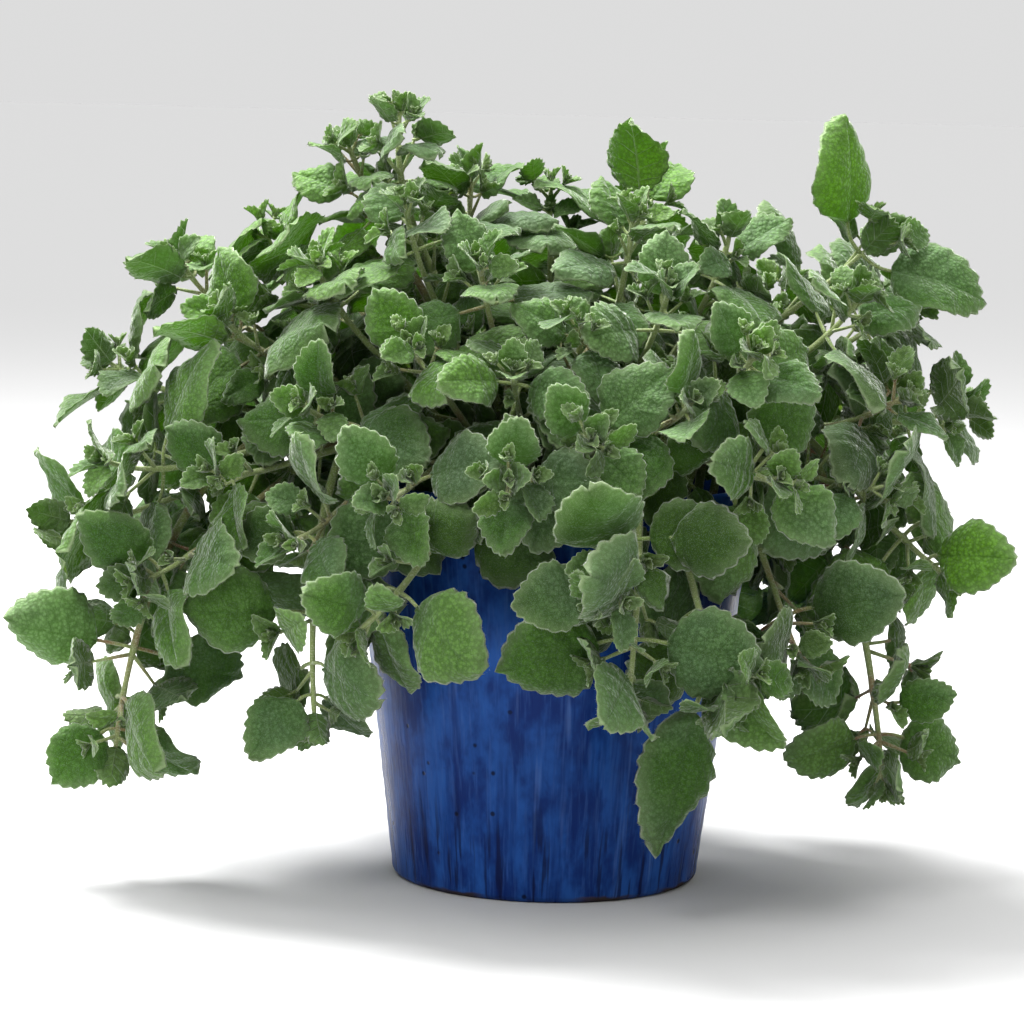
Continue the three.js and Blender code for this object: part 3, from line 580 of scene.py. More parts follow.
def potting_soil():
    s = Shader("potting soil")
    place = s.place()
    crumbs = s.noise(420.0, place, detail=3.0, roughness=0.7)
    colour = s.mix(s.band(crumbs, 0.35, 0.7), BLACK_PEAT, BROWN_PEAT)
    colour = s.mix(s.band(s.noise(38.0, place), 0.4, 0.7, 0.0, 0.5), colour, DAMP_PEAT)
    distance, chance = s.cells(300.0, place)
    is_grain = s.band(s.node("SeparateColor", {0: chance}).outputs[0], 0.93, 0.94)
    grain = s.math("MULTIPLY", s.band(distance, 0.4, 0.3), is_grain)
    colour = s.mix(grain, colour, PALE_GRAIN)
    bump = s.node("Bump", {"Strength": 0.9, "Distance": 0.002, "Height": crumbs}).outputs[0]
    surface = s.node("BsdfPrincipled", {"Base Color": colour, "Roughness": 0.95, "Normal": bump})
    return s.finish(surface.outputs[0])


soil = soil_skin().piece("potting_soil", [potting_soil()])
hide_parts("soil")
print("soil triangles:", sum(len(p.vertices) - 2 for p in soil.data.polygons))

# %% [markdown]
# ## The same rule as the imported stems
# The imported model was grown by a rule: a table of shoots, a seeded source of numbers, and a
# few ways that a stem or a leaf tries in turn when its place is taken. Fine leaves have to lie
# where the faceted ones do. So the rule is repeated here, and which of its ways the packed
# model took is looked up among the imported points, which needs no trial of every crossing.

# %% The shoots and the sizes that the rule works from
HOLE_DEPTH = 16.0
STEM_HALF_ROOT = 2.3
STEM_HALF_TIP = 1.1
STEM_TAPER_LENGTH = 110.0
STEM_STEP = 90.0
STEM_TURN = 46.0
ROOT_SPREAD = 80.0
ROOT_GAP = 13.0
CROWN_Z = 195.0
PATH_SAMPLES = 80
CLIMB_SHARE = 0.38
LEAN_SHARE = 0.36
ARCH_Z = 260.0
MOST_EXTRA_CLIMB = 76.0
FOOT_ABOVE_SOIL = 14.0
LEAF_GAPS = [4, 9, 15, 24, 30]
LEAF_LENGTHS = [0.46, 0.8, 1.05, 1.05, 0.95]
LEAF_RISES = [58, 34, 8, -14, -24]
STEEPEST_RISE = 74
LEAF_SIDE_POINTS = [3, 4, 5, 5, 5]
LEAF_WIDTH = 0.94
PETIOLE_LENGTHS = [0, 0.2, 0.3, 0.36, 0.38]
NODE_HALF = 1.4
LEAF_SAG = 0.1
CUP_START = 0.45
LIGHT_PULLS = [0, 0.6, 0.9, 1, 1]
YOUNG_ROLL = 0.3
FRONT_PULL = 0.5
BACK_LINE = 70.0
LIGHT_FROM_ABOVE = 0.7
LIGHT_FROM_OUTSIDE = 1.2
SEED = 4100
USUAL_LEAF = 42

BENDS = [
    (0, 0, 0, 1), (12, 6, 8, 1), (-12, 6, -8, 1), (0, 16, 0, 1), (0, -16, 0, 1),
    (24, 0, 16, 1), (-24, 0, -16, 1), (20, 18, -14, 0.95), (-20, 18, 14, 0.95),
    (22, -20, 10, 0.95), (-22, -20, -10, 0.95), (0, 32, 0, 0.92), (0, -34, 0, 0.92),
    (40, 8, 24, 0.9), (-40, 8, -24, 0.9), (34, 30, -20, 0.85), (-34, 30, 20, 0.85),
    (36, -32, 20, 0.85), (-36, -32, -20, 0.85), (0, 48, 0, 0.8), (0, -52, 0, 0.8),
    (54, 14, 30, 0.78), (-54, 14, -30, 0.78), (0, 10, 40, 0.72), (0, 10, -40, 0.72),
]
SWAYS = [
    (bow, climb)
    for climb in (1, 1.25, 0.8, 1.5, 0.6)
    for bow in (0, 9, -9, 18, -18, 28, -28, 40, -40)
]


def shoot(tip, grow, leaf, pairs, turn, lift, pinched=0, front=None, lone=False, slim=1.0):
    """One shoot: where its tip is, the way that it grows there, the length of its largest leaf,
    how many pairs it has, how far it is turned and how steeply its leaves rise. A pinched shoot
    has lost its youngest pairs, front pulls its leaves to the front, and a lone one has one leaf
    a pair."""
    return SimpleNamespace(
        tip=Vector(tip), grow=Vector(grow).normalized(), leaf=leaf, pairs=pairs, turn=turn,
        lift=lift, pinched=pinched, front=front, lone=lone, slim=slim,
    )


SHOOTS = [
    # the crown
    shoot((-108, 20, 366), (-0.35, -0.1, 0.93), 28, 4, 20, 16),
    shoot((-80, 0, 385), (0.15, -0.1, 1), 24, 4, 70, 20),
    shoot((-45, 40, 351), (0.1, 0.1, 1), 41, 3, 10, 14),
    shoot((-75, -45, 337), (-0.1, -0.45, 0.88), 38, 3, 40, 0),
    shoot((-5, 60, 346), (0, 0.15, 1), 43, 3, 80, 8),
    shoot((36, -30, 335), (0.05, -0.3, 0.95), 38, 3, 30, 6),
    shoot((45, 48, 351), (0.1, 0.2, 0.97), 50, 3, 5, 26),
    shoot((85, 0, 327), (0.15, -0.1, 1), 41, 3, 60, 6),
    shoot((154, 12, 318), (0.7, -0.1, 0.72), 50, 3, 90, 40, pinched=2, front=5),
    # the left shoulder
    shoot((-150, 25, 324), (-0.3, 0.05, 0.95), 47, 4, 35, 16),
    shoot((-194, 40, 305), (-0.5, 0.1, 0.85), 45, 3, 80, 10),
    shoot((-165, -35, 280), (-0.55, -0.45, 0.7), 50, 4, 15, 8),
    shoot((-118, -50, 308), (-0.25, -0.45, 0.85), 43, 3, 50, 4),
    # the upper front
    shoot((-38, -76, 312), (-0.1, -0.55, 0.83), 41, 3, 25, 4),
    shoot((11, -96, 284), (0, -0.7, 0.7), 43, 3, 65, 0),
    shoot((53, -84, 301), (0.15, -0.6, 0.78), 41, 3, 5, 4),
    shoot((94, -108, 274), (0.2, -0.75, 0.62), 38, 3, 40, 2),
    shoot((147, -45, 298), (0.4, -0.4, 0.82), 43, 3, 75, 6),
    # the right shoulder
    shoot((170, -52, 251), (0.6, -0.5, 0.62), 38, 3, 30, 4),
    shoot((179, 22, 295), (0.7, 0.05, 0.7), 50, 3, 88, 0),
    shoot((206, 8, 240), (0.9, -0.15, 0.4), 50, 4, 50, 6),
    shoot((160, -72, 208), (0.65, -0.65, 0.4), 43, 3, 10, 0),
    # the middle of the front
    shoot((-69, -96, 271), (-0.25, -0.8, 0.55), 43, 3, 45, 0),
    shoot((-120, -96, 242), (-0.45, -0.75, 0.5), 43, 3, 0, 0),
    shoot((-20, -118, 262), (0, -0.85, 0.5), 41, 3, 80, 0),
    shoot((17, -146, 234), (0.05, -0.93, 0.35), 38, 3, 45, 0),
    shoot((64, -128, 251), (0.2, -0.85, 0.45), 41, 3, 20, 0),
    shoot((-21, -152, 214), (-0.05, -0.95, 0.3), 38, 3, 0, 0),
    shoot((105, -126, 216), (0.35, -0.88, 0.3), 43, 3, 60, 0),
    # the left side
    shoot((-228, 20, 253), (-0.8, 0.1, 0.6), 48, 3, 30, 6),
    shoot((-220, -48, 209), (-0.8, -0.4, 0.45), 50, 3, 75, 0),
    shoot((-246, 5, 172), (-0.97, -0.05, 0.1), 50, 3, 10, 0),
    shoot((-165, -78, 208), (-0.6, -0.7, 0.4), 45, 3, 45, 0),
    shoot((-200, -70, 152), (-0.75, -0.6, -0.1), 50, 3, 20, 0),
    shoot((-126, -104, 178), (-0.5, -0.8, 0.2), 43, 3, 70, 0),
    shoot((-78, -134, 203), (-0.3, -0.92, 0.25), 41, 3, 35, 0),
    # the skirt that hangs over the rim
    shoot((-92, -124, 137), (-0.35, -0.7, -0.6), 47, 3, 0, 0),
    shoot((-112, -84, 88), (-0.02, -0.05, -1), 43, 4, 40, 0),
    shoot((-214, -34, 60), (-0.1, -0.05, -1), 46, 4, 10, 0, front=1),
    shoot((22, -172, 160), (0.05, -0.95, -0.25), 50, 3, 85, 0),
    shoot((37, -150, 111), (0.05, -0.2, -0.97), 50, 4, 30, 0),
    shoot((82, -142, 122), (0.6, -0.3, -0.7), 66, 3, 90, 26, pinched=2, front=2, lone=True,
          slim=0.6),
    shoot((120, -104, 124), (0.5, -0.5, -0.7), 45, 3, 60, 0),
    shoot((166, -48, 56), (0.15, -0.15, -0.97), 38, 4, 25, 0),
    shoot((197, -26, 158), (0.8, -0.3, -0.5), 50, 4, 40, 0, front=2),
    # the back
    shoot((-118, 108, 300), (-0.35, 0.5, 0.8), 45, 3, 15, 4),
    shoot((-38, 132, 308), (-0.1, 0.6, 0.8), 45, 3, 60, 4),
    shoot((46, 128, 312), (0.15, 0.55, 0.82), 45, 3, 30, 4),
    shoot((122, 98, 294), (0.45, 0.45, 0.78), 47, 3, 75, 4),
    shoot((176, 102, 232), (0.75, 0.5, 0.45), 47, 3, 20, 0),
    shoot((108, 158, 232), (0.5, 0.75, 0.42), 47, 3, 50, 0),
    shoot((22, 182, 238), (0.1, 0.9, 0.42), 47, 3, 5, 0),
    shoot((-66, 172, 236), (-0.3, 0.85, 0.42), 47, 3, 40, 0),
    shoot((-148, 142, 228), (-0.65, 0.65, 0.4), 47, 3, 70, 0),
    shoot((-200, 92, 188), (-0.85, 0.45, 0.1), 47, 3, 25, 0),
    shoot((-104, 166, 146), (-0.5, 0.75, -0.4), 47, 3, 55, 0),
    shoot((10, 180, 140), (0, 0.85, -0.5), 47, 3, 15, 0),
    shoot((122, 142, 130), (0.6, 0.6, -0.5), 47, 3, 80, 0),
]
print("shoots:", len(SHOOTS))

# %% [markdown]
# ## Roots and stem lines
# Each shoot comes up under its tip's bearing, further out the lower it hangs, and roots that
# are too close push each other apart. From there a stem climbs, leans over and reaches its
# tip, along one smooth curve with four control points.

# %% Where each shoot comes up
UP = Vector((0, 0, 1))
FRONT = Vector((0, -1, 0))


def root_places():
    places = []
    for row in SHOOTS:
        out = math.hypot(row.tip.x, row.tip.y)
        fall = math.atan2(out, row.tip.z - CROWN_Z)
        radius = ROOT_SPREAD * min(1, fall / (0.62 * math.pi))
        places.append([row.tip.x / out * radius, row.tip.y / out * radius])
    for _ in range(60):
        for i, a in enumerate(places):
            for b in places[i + 1:]:
                dx, dy = b[0] - a[0], b[1] - a[1]
                gap = math.hypot(dx, dy)
                if gap < ROOT_GAP:
                    push = (ROOT_GAP - gap) / gap / 2
                    a[0] -= dx * push
                    a[1] -= dy * push
                    b[0] += dx * push
                    b[1] += dy * push
        for p in places:
            length = math.hypot(*p)
            if length > ROOT_SPREAD:
                p[0] *= ROOT_SPREAD / length
                p[1] *= ROOT_SPREAD / length
    return [Vector((x, y, SOIL_TOP - HOLE_DEPTH)) for x, y in places]


roots = root_places()
print("roots from", round(min(r.xy.length for r in roots)), "to",
      round(max(r.xy.length for r in roots)), "mm off the axis")

# %% The line of a stem


def squared(v, axis):
    """The part of a direction that is square to an axis, at length 1."""
    return (v - axis * v.dot(axis)).normalized()


def turned(v, axis, degrees):
    return Quaternion(axis, math.radians(degrees)) @ v


class StemLine:
    """A stem's curve. Lengths are measured back from the tip."""

    def __init__(self, row, start, sway):
        bow, climb_share = sway
        reach = (start - row.tip).length
        side = UP.cross(Vector((start.x, start.y, 0)).normalized())
        lift = min(MOST_EXTRA_CLIMB, max(0, 0.9 * (ARCH_Z - row.tip.z)))
        climb = climb_share * (CLIMB_SHARE * reach + lift)
        hang = max(0, POT_HEIGHT - row.tip.z) * max(0, -row.grow.z)
        self.curve = [
            start,
            start + UP * climb + side * (bow * 0.6),
            row.tip + row.grow * (-LEAN_SHARE * reach - hang) + side * bow,
            row.tip,
        ]
        samples = [self.at(1 - i / PATH_SAMPLES) for i in range(PATH_SAMPLES + 1)]
        self.lengths = [0.0]
        for a, b in zip(samples, samples[1:]):
            self.lengths.append(self.lengths[-1] + (a - b).length)
        self.length = self.lengths[-1]
        self.sides = [turned(squared(UP.cross(row.grow), row.grow), row.grow, row.turn)]
        for i in range(1, PATH_SAMPLES + 1):
            self.sides.append(squared(self.sides[-1], self.along(1 - i / PATH_SAMPLES)))

    def at(self, t):
        s = 1 - t
        weights = (s * s * s, 3 * s * s * t, 3 * s * t * t, t * t * t)
        return sum((p * w for p, w in zip(self.curve, weights)), Vector((0, 0, 0)))

    def along(self, t):
        s = 1 - t
        weights = (-s * s, s * s - 2 * s * t, 2 * s * t - t * t, t * t)
        return sum((p * w for p, w in zip(self.curve, weights)), Vector((0, 0, 0))).normalized()

    def time_at(self, length):
        i = min(PATH_SAMPLES, max(1, bisect_left(self.lengths, length)))
        low, high = self.lengths[i - 1], self.lengths[i]
        return 1 - (i - 1 + (length - low) / (high - low)) / PATH_SAMPLES

    def ring(self, length, pair=None):
        """The square section at a length back from the tip."""
        t = self.time_at(length)
        grow = self.along(t)
        normal = squared(self.sides[math.floor((1 - t) * PATH_SAMPLES + 1e-9)], grow)
        taper = min(1, length / STEM_TAPER_LENGTH)
        half = STEM_HALF_TIP + (STEM_HALF_ROOT - STEM_HALF_TIP) * taper
        return SimpleNamespace(centre=self.at(t), grow=grow, normal=normal,
                               side=grow.cross(normal), half=half, pair=pair, length=length)

    def foot_top(self):
        return self.length - HOLE_DEPTH - FOOT_ABOVE_SOIL


def spread_lengths(line, start, end):
    """Lengths between two others along a stem, closer together where it turns."""
    marks = [(start, 0.0)]
    for length in [v for v in line.lengths if start < v < end] + [end]:
        last, effort = marks[-1]
        turn = math.degrees(line.along(line.time_at(last)).angle(line.along(line.time_at(length))))
        marks.append((length, effort + (length - last) / STEM_STEP + turn / STEM_TURN))
    whole = marks[-1][1]
    steps = max(1, math.floor(whole + 0.5))
    spread = []
    for i in range(1, steps):
        effort = whole * i / steps
        k = next(j for j, mark in enumerate(marks) if mark[1] >= effort)
        part = (effort - marks[k - 1][1]) / (marks[k][1] - marks[k - 1][1])
        spread.append(marks[k - 1][0] + part * (marks[k][0] - marks[k - 1][0]))
    return spread


def stem_rings(row, line):
    """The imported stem's sections from tip to root, with the upper one of each pair marked."""
    rings = [line.ring(0.0)]
    back = 0.0
    for pair in range(row.pinched, row.pairs):
        usual = LEAF_GAPS[pair] * (0.4 + 0.6 * row.leaf / USUAL_LEAF)
        back += LEAF_GAPS[0] if pair == row.pinched else usual
        rings += [line.ring(back - NODE_HALF, pair), line.ring(back + NODE_HALF)]
    bare = spread_lengths(line, back, line.foot_top())
    return rings + [line.ring(v) for v in (*bare, line.foot_top(), line.length)]


def ring_corners(ring):
    return [ring.centre + ring.normal * (n * ring.half) + ring.side * (s * ring.half)
            for n, s in ((1, 1), (-1, 1), (-1, -1), (1, -1))]


# %% Look up which way each packed stem bows
MATCH = 0.06


def packed_points(name):
    """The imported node's points in millimetres, ready to be searched."""
    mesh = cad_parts[name].data
    tree = KDTree(len(mesh.vertices))
    for v in mesh.vertices:
        tree.insert(v.co / MM, v.index)
    tree.balance()
    return tree


def holds(tree, points):
    return all(tree.find(p)[2] < MATCH for p in points)


def find_stem(row, start, tree):
    for sway in SWAYS:
        line = StemLine(row, start, sway)
        rings = stem_rings(row, line)
        if holds(tree, ring_corners(rings[-2]) + ring_corners(rings[-3])[:1]):
            return line, rings
    raise RuntimeError("the rule and the packed stem disagree")


stems = []
for number, (row, start) in enumerate(zip(SHOOTS, roots), 1):
    name = f"leafy_stem_{number:02d}"
    tree = packed_points(name)
    line, rings = find_stem(row, start, tree)
    stems.append(SimpleNamespace(name=name, row=row, tree=tree, line=line, rings=rings, leaves=[]))
print("stems found:", len(stems), "longest:", round(max(s.line.length for s in stems)), "mm")

# %% [markdown]
# ## Where the leaves are
# Leaves stand in opposite pairs, each pair crosswise to the next. A leaf leaves its stem at an
# angle that opens with age, then turns its upper side to the light. Its own small chances of
# yaw, pitch, roll, size, bend, cup and wave come from a seeded source, in a fixed order.

# %% The draws and the place of a leaf


def draws(seed):
    """A seeded source of numbers from 0 to 1."""
    state = seed & 0xFFFFFFFF
    while True:
        state = (state * 1664525 + 1013904223) & 0xFFFFFFFF
        yield state / 4294967296


def leaf_draws(pair, source):
    """A leaf's own chances, always taken in the same order."""
    def spread(size):
        return (next(source) * 2 - 1) * size

    return SimpleNamespace(
        yaw=spread(12),
        pitch=spread(9),
        roll=spread(12),
        size=1 + spread(0.1),
        bend=(0.25 + 0.12 * pair) * (0.6 + 0.8 * next(source)),
        cup=0.42 - 0.16 * pair + spread(0.14),
        wave=0.035 + 0.03 * next(source),
        phase=next(source),
        width=LEAF_WIDTH * (1 + spread(0.07)),
    )


def pair_faces(pair):
    """The two faces of the stem that a pair stands on, crosswise to the pair before it."""
    return (0, 2) if pair % 2 else (3, 1)


def face_way(ring, face):
    return (ring.side, -ring.normal, -ring.side, ring.normal)[face]


def place_leaf(row, ring, low, face, pair, drawn, bend):
    """Where a leaf stands and how it is turned. low is the ring under its pair."""
    yaw, pitch, roll, scale = bend
    outward = face_way(ring, face)
    rise = math.radians(min(STEEPEST_RISE, LEAF_RISES[pair] + row.lift))
    length = row.leaf * LEAF_LENGTHS[pair] * drawn.size * scale
    first = outward * math.cos(rise) + ring.grow * math.sin(rise) - UP * (LEAF_SAG * pair)
    first.normalize()
    from_crown = (ring.centre - UP * CROWN_Z).normalized()
    front = row.front
    if front is None:
        front = FRONT_PULL * min(1, max(-1, 1 - row.tip.y / BACK_LINE))
    light = (UP * LIGHT_FROM_ABOVE + from_crown * LIGHT_FROM_OUTSIDE + FRONT * front).normalized()
    by_stem = min(1, max(0.12, 0.5 + ring.grow.z)) if pair else 1
    upper = squared(squared(ring.grow, first) * by_stem + light * LIGHT_PULLS[pair], first)
    across = first.cross(upper)
    lifted = turned(first, across, pitch + drawn.pitch)
    facing = turned(upper, across, pitch + drawn.pitch)
    along = turned(lifted, facing, yaw + drawn.yaw)
    normal = turned(facing, along, (roll + drawn.roll) * (1 if pair else YOUNG_ROLL))
    stalk = length * PETIOLE_LENGTHS[pair]
    stalk_way = (outward + along * 0.9).normalized()
    foot = (ring.centre + low.centre) / 2 + outward * ring.half
    return SimpleNamespace(
        pair=pair, outward=outward, grow=ring.grow, foot=foot, base=foot + stalk_way * stalk,
        stalk=stalk, along=along, normal=normal, length=length, width=drawn.width * row.slim,
        bend=drawn.bend, cup=drawn.cup, wave=drawn.wave, phase=drawn.phase, age=0.0,
        finest=math.inf,
    )


# %% The middle surface of a blade


def blade_width(u):
    """Half the width of a blade, as a share of its greatest half width."""
    return np.sin(np.pi * np.clip(u, 1e-9, 1 - 1e-9) ** 0.78) ** 0.6


def blade_points(leaf, u, x, raised=0.0):
    """Points of the blade: u runs from base to tip, and x is the distance from the midrib."""
    half = 0.5 * leaf.length * leaf.width * blade_width(u)
    v = np.clip(x / np.maximum(half, 1e-6), -1.1, 1.1)
    along, normal = np.array(leaf.along), np.array(leaf.normal)
    right = np.array(leaf.normal.cross(leaf.along))
    turn = (leaf.bend * u)[..., None]
    surface = normal * np.cos(turn) + along * np.sin(turn)
    ripple = leaf.wave * leaf.length * np.sin(
        2 * np.pi * (1.4 * u + leaf.phase + 0.25 * np.sign(v))
    )
    cup = np.sin(leaf.cup * np.minimum(1, u / CUP_START)) * half
    lift = cup * np.abs(v) ** 1.5 + ripple * v ** 2 + raised
    return (
        np.array(leaf.base)
        + along * (leaf.length * (u - leaf.bend ** 2 * u ** 3 / 6))[..., None]
        - normal * (leaf.length * leaf.bend * u ** 2 / 2)[..., None]
        + right * (x * math.cos(leaf.cup))[..., None]
        + surface * lift[..., None]
    )


def landmarks(leaf):
    """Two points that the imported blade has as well: its tip and a point of its edge."""
    steps = LEAF_SIDE_POINTS[leaf.pair]
    u = np.array([1.0, (1 - math.cos(math.pi * 1 / (steps + 1))) / 2])
    x = np.array([0.0, 0.5 * leaf.length * leaf.width * blade_width(u[1:])[0]])
    return [Vector(p) for p in blade_points(leaf, u, x)]


# %% Look up how each packed leaf turned


def find_leaves(stem, seed):
    """Fills stem.leaves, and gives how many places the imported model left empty."""
    source = draws(seed)
    empty = 0
    for ring, low in zip(stem.rings, stem.rings[1:]):
        if ring.pair is None:
            continue
        for face in pair_faces(ring.pair)[1 if stem.row.lone else 0:]:
            drawn = leaf_draws(ring.pair, source)
            for bend in BENDS:
                leaf = place_leaf(stem.row, ring, low, face, ring.pair, drawn, bend)
                if holds(stem.tree, landmarks(leaf)):
                    stem.leaves.append(leaf)
                    break
            else:
                empty += 1
    return empty


empty = sum(find_leaves(stem, SEED + i) for i, stem in enumerate(stems))
print("leaves found:", sum(len(s.leaves) for s in stems), "places without one:", empty)

# %% [markdown]
# ## A leaf's edge and its grid
# A real leaf of this plant is thick and felted, with round teeth, a pale rim and a surface that
# is puckered between its side veins. It could be one flat card with a cut-out picture, but that
# has no edge and no relief. So each blade is a grid: its rows run along the side veins, from
# the midrib forward to the edge, and the edge swells and dips into teeth.

# %% How finely a leaf is divided, by its length in millimetres
LEAF_GRIDS = [
    # from length, teeth a side, side veins, columns above, columns below
    (27.0, 9, 6, (0.15, 0.45, 0.76, 0.955, 1), (0.6, 1)),
    (17.0, 8, 5, (0.2, 0.6, 0.94, 1), (0.6, 1)),
    (9.0, 6, 4, (0.45, 0.9, 1), (1,)),
    (0.0, 4, 3, (0.6, 1), (1,)),
]
TOOTH_ROWS = (0.0, 0.31, 0.62)
EDGE_START = 0.03
EDGE_SAMPLES = 200
EDGE_REACH = 0.985
FIT = 0.965
TAPER = 0.07


def leaf_grid(leaf):
    """How a leaf is divided. An inner leaf is divided no finer than a leaf of its finest length."""
    length = min(leaf.length, leaf.finest)
    return next(grid[1:] for grid in LEAF_GRIDS if length >= grid[0])


def half_width(leaf, u):
    return 0.5 * leaf.length * leaf.width * blade_width(u)


def smooth(value, low, high):
    share = np.clip((value - low) / (high - low), 0, 1)
    return share * share * (3 - 2 * share)


def spread_shares(teeth, chance):
    """The tooth that each row belongs to, and where it meets the edge as a share of its run.
    Teeth differ a little in width. The last one ends at its peak, which is the leaf's tip."""
    borders = np.arange(teeth + 1.0)
    moved = borders + 0.16 * (2 * chance.random(teeth + 1) - 1)
    moved[0] = 0
    phases = (np.arange(teeth)[:, None] + TOOTH_ROWS).ravel()
    shares = np.interp(phases, borders, moved)
    return phases, shares / shares[-1]


def toothed_edge(leaf, teeth, chance):
    """One side's edge: place along and across for each row, in millimetres of the flat blade."""
    turn = EDGE_START + (math.pi - EDGE_START) * np.linspace(0, 1, EDGE_SAMPLES) ** 1.3
    u = (1 - np.cos(turn)) / 2
    x = half_width(leaf, u)
    steps = np.hypot(np.diff(u) * leaf.length, np.diff(x))
    run = np.concatenate([[0], np.cumsum(steps)]) / steps.sum()
    phases, shares = spread_shares(teeth, chance)
    along = np.interp(shares, run, u) * leaf.length * EDGE_REACH
    across = np.interp(shares, run, x) * FIT * (1 - TAPER * smooth(along / leaf.length, 0.35, 1))
    ahead, aside = np.gradient(along), np.gradient(across)
    size = np.hypot(ahead, aside)
    depth = (0.015 * leaf.length + 0.7) * (0.6 + 0.8 * chance.random(teeth))
    rise = np.clip((shares - 0.05) / 0.13, 0, 1)
    tooth = depth[phases.astype(int)] * rise * ((phases % 1 / TOOTH_ROWS[-1]) ** 0.6 - 0.65)
    forward = 0.3 * tooth
    along += (-aside * tooth + ahead * forward) / size
    across += (ahead * tooth + aside * forward) / size
    across[-1] = 0
    return along / leaf.length, np.maximum(across, 0)


print("rows of a large leaf:", len(spread_shares(9, np.random.default_rng(0))[0]))

# %% A blade with its veins, puckers and thickness
SWEEP = 1.8
PUCKER = 0.032
GROOVE = 0.016
RIDGE = 0.010
LEAF_THICKNESS = 1.4
UPPER_SLOT, UNDER_SLOT, STEM_SLOT, HAIR_SLOT = range(4)


def blade_sheet(leaf, columns, edges, veins, upper):
    """The points of one face of a blade, row by row, with flat coordinates and edge distances."""
    s = np.array([-c for c in columns[::-1]] + [0.0] + list(columns))
    rows = len(edges[0][0])
    share = np.arange(rows) / (rows - 1)
    rib = (EDGE_REACH * share ** SWEEP)[:, None]
    left = s[None, :] < 0
    edge_u = np.where(left, edges[0][0][:, None], edges[1][0][:, None])
    edge_x = np.where(left, edges[0][1][:, None], edges[1][1][:, None])
    u = np.clip(rib + (edge_u - rib) * np.abs(s) ** 1.4, 0.0, 1.0)
    x = edge_x * s

    # pillows between side veins, a groove along the midrib and edges that curl down
    between = np.abs(np.sin(math.pi * (share * veins + 0.5)))[:, None] ** 0.7 - 0.5
    pillow = between * (1 - np.abs(2 * np.abs(s) - 1) ** 2.5)
    groove = np.exp(-(s / 0.12) ** 2) * (1 - share[:, None]) ** 0.5
    curl = np.clip((np.abs(s) - 0.4) / 0.6, 0, 1) ** 2
    raised = leaf.length * (PUCKER * pillow - GROOVE * groove - leaf.curl * curl)
    thick = LEAF_THICKNESS * min(1, 0.5 + leaf.length / 90) * 0.42
    body = np.sqrt(np.clip(1 - s ** 2, 0, 1)) ** 0.8 * np.ones((rows, 1))
    if upper:
        raised = raised + thick * body
    else:
        ridge = np.exp(-(s / 0.2) ** 2) * (1 - share[:, None]) ** 0.7
        raised = raised * 0.8 - thick * body - RIDGE * leaf.length * ridge
    points = blade_points(leaf, u, x, raised)
    flat = np.stack([0.5 + 0.5 * np.broadcast_to(s, u.shape), (share * veins)[:, None] + 0 * u], -1)
    inside = edge_x * (1 - np.abs(s))
    return points, flat, inside


def blade_faces(number, slot, skin):
    """Faces between the rows of a blade's face. The last row is one point, the tip."""
    a, b = number[:-2, :-1], number[1:-1, :-1]
    c, d = number[1:-1, 1:], number[:-2, 1:]
    left, right = number[-2, :-1], number[-2, 1:]
    tip = np.full(len(left), number[-1, 0])
    upper = slot == UPPER_SLOT
    skin.join(np.stack([a, b, c, d] if upper else [a, d, c, b], axis=-1).reshape(-1, 4), slot)
    skin.join(np.stack([left, tip, right] if upper else [right, tip, left], axis=-1), slot)


def add_blade(skin, leaf, chance):
    """Adds a closed blade to a skin, and gives its upper points, whose edge bears the hairs."""
    teeth, veins, above, below = leaf_grid(leaf)
    edges = [toothed_edge(leaf, teeth, chance) for _ in range(2)]
    numbers, sheets = [], []
    for columns, upper in ((above, True), (below, False)):
        points, flat, inside = blade_sheet(leaf, columns, edges, veins, upper)
        marks = np.zeros((*inside.shape, 4))
        # the marks: tone, painted sunlight and youth, then the distance to the edge
        marks[..., :3] = leaf.tone, leaf.sun, leaf.young
        marks[..., 3] = inside / 25 / max(0.35, min(1, leaf.length / 40))
        first = skin.add(points.reshape(-1, 3), flat.reshape(-1, 2), marks.reshape(-1, 4))
        numbers.append(first + np.arange(inside.size).reshape(inside.shape))
        sheets.append(points)
    top, under = numbers
    under[:, 0], under[:, -1] = top[:, 0], top[:, -1]
    top[-1] = under[-1] = top[-1, len(above)]
    blade_faces(top, UPPER_SLOT, skin)
    blade_faces(under, UNDER_SLOT, skin)
    ring = np.concatenate([top[0], under[0, -2:0:-1]])
    middle = skin.add(sheets[1][0].mean(axis=0)[None], np.zeros((1, 2)), (leaf.tone, 0, 0, 1))
    skin.join(fan_faces(ring, middle), UNDER_SLOT)
    return sheets[0]


print("a leaf's thickness:", LEAF_THICKNESS, "mm")

# %% [markdown]
# ## Stalks, stems and hairs
# The stems of this family are square with rounded corners, and thicken a little where a pair of
# leaves stands. A stalk leaves the stem's face squarely and bends into the blade's midrib. Both
# are tubes of rings. The felt is too fine to model whole, but the longer hairs that stand off
# stems and leaf edges catch the light, so those are made as slivers, one triangle each.

# %% Tubes
STEM_SIDES = 12
STEM_RING_EVERY = 6.0
SQUARENESS = 3.2
NODE_SWELL = 0.22


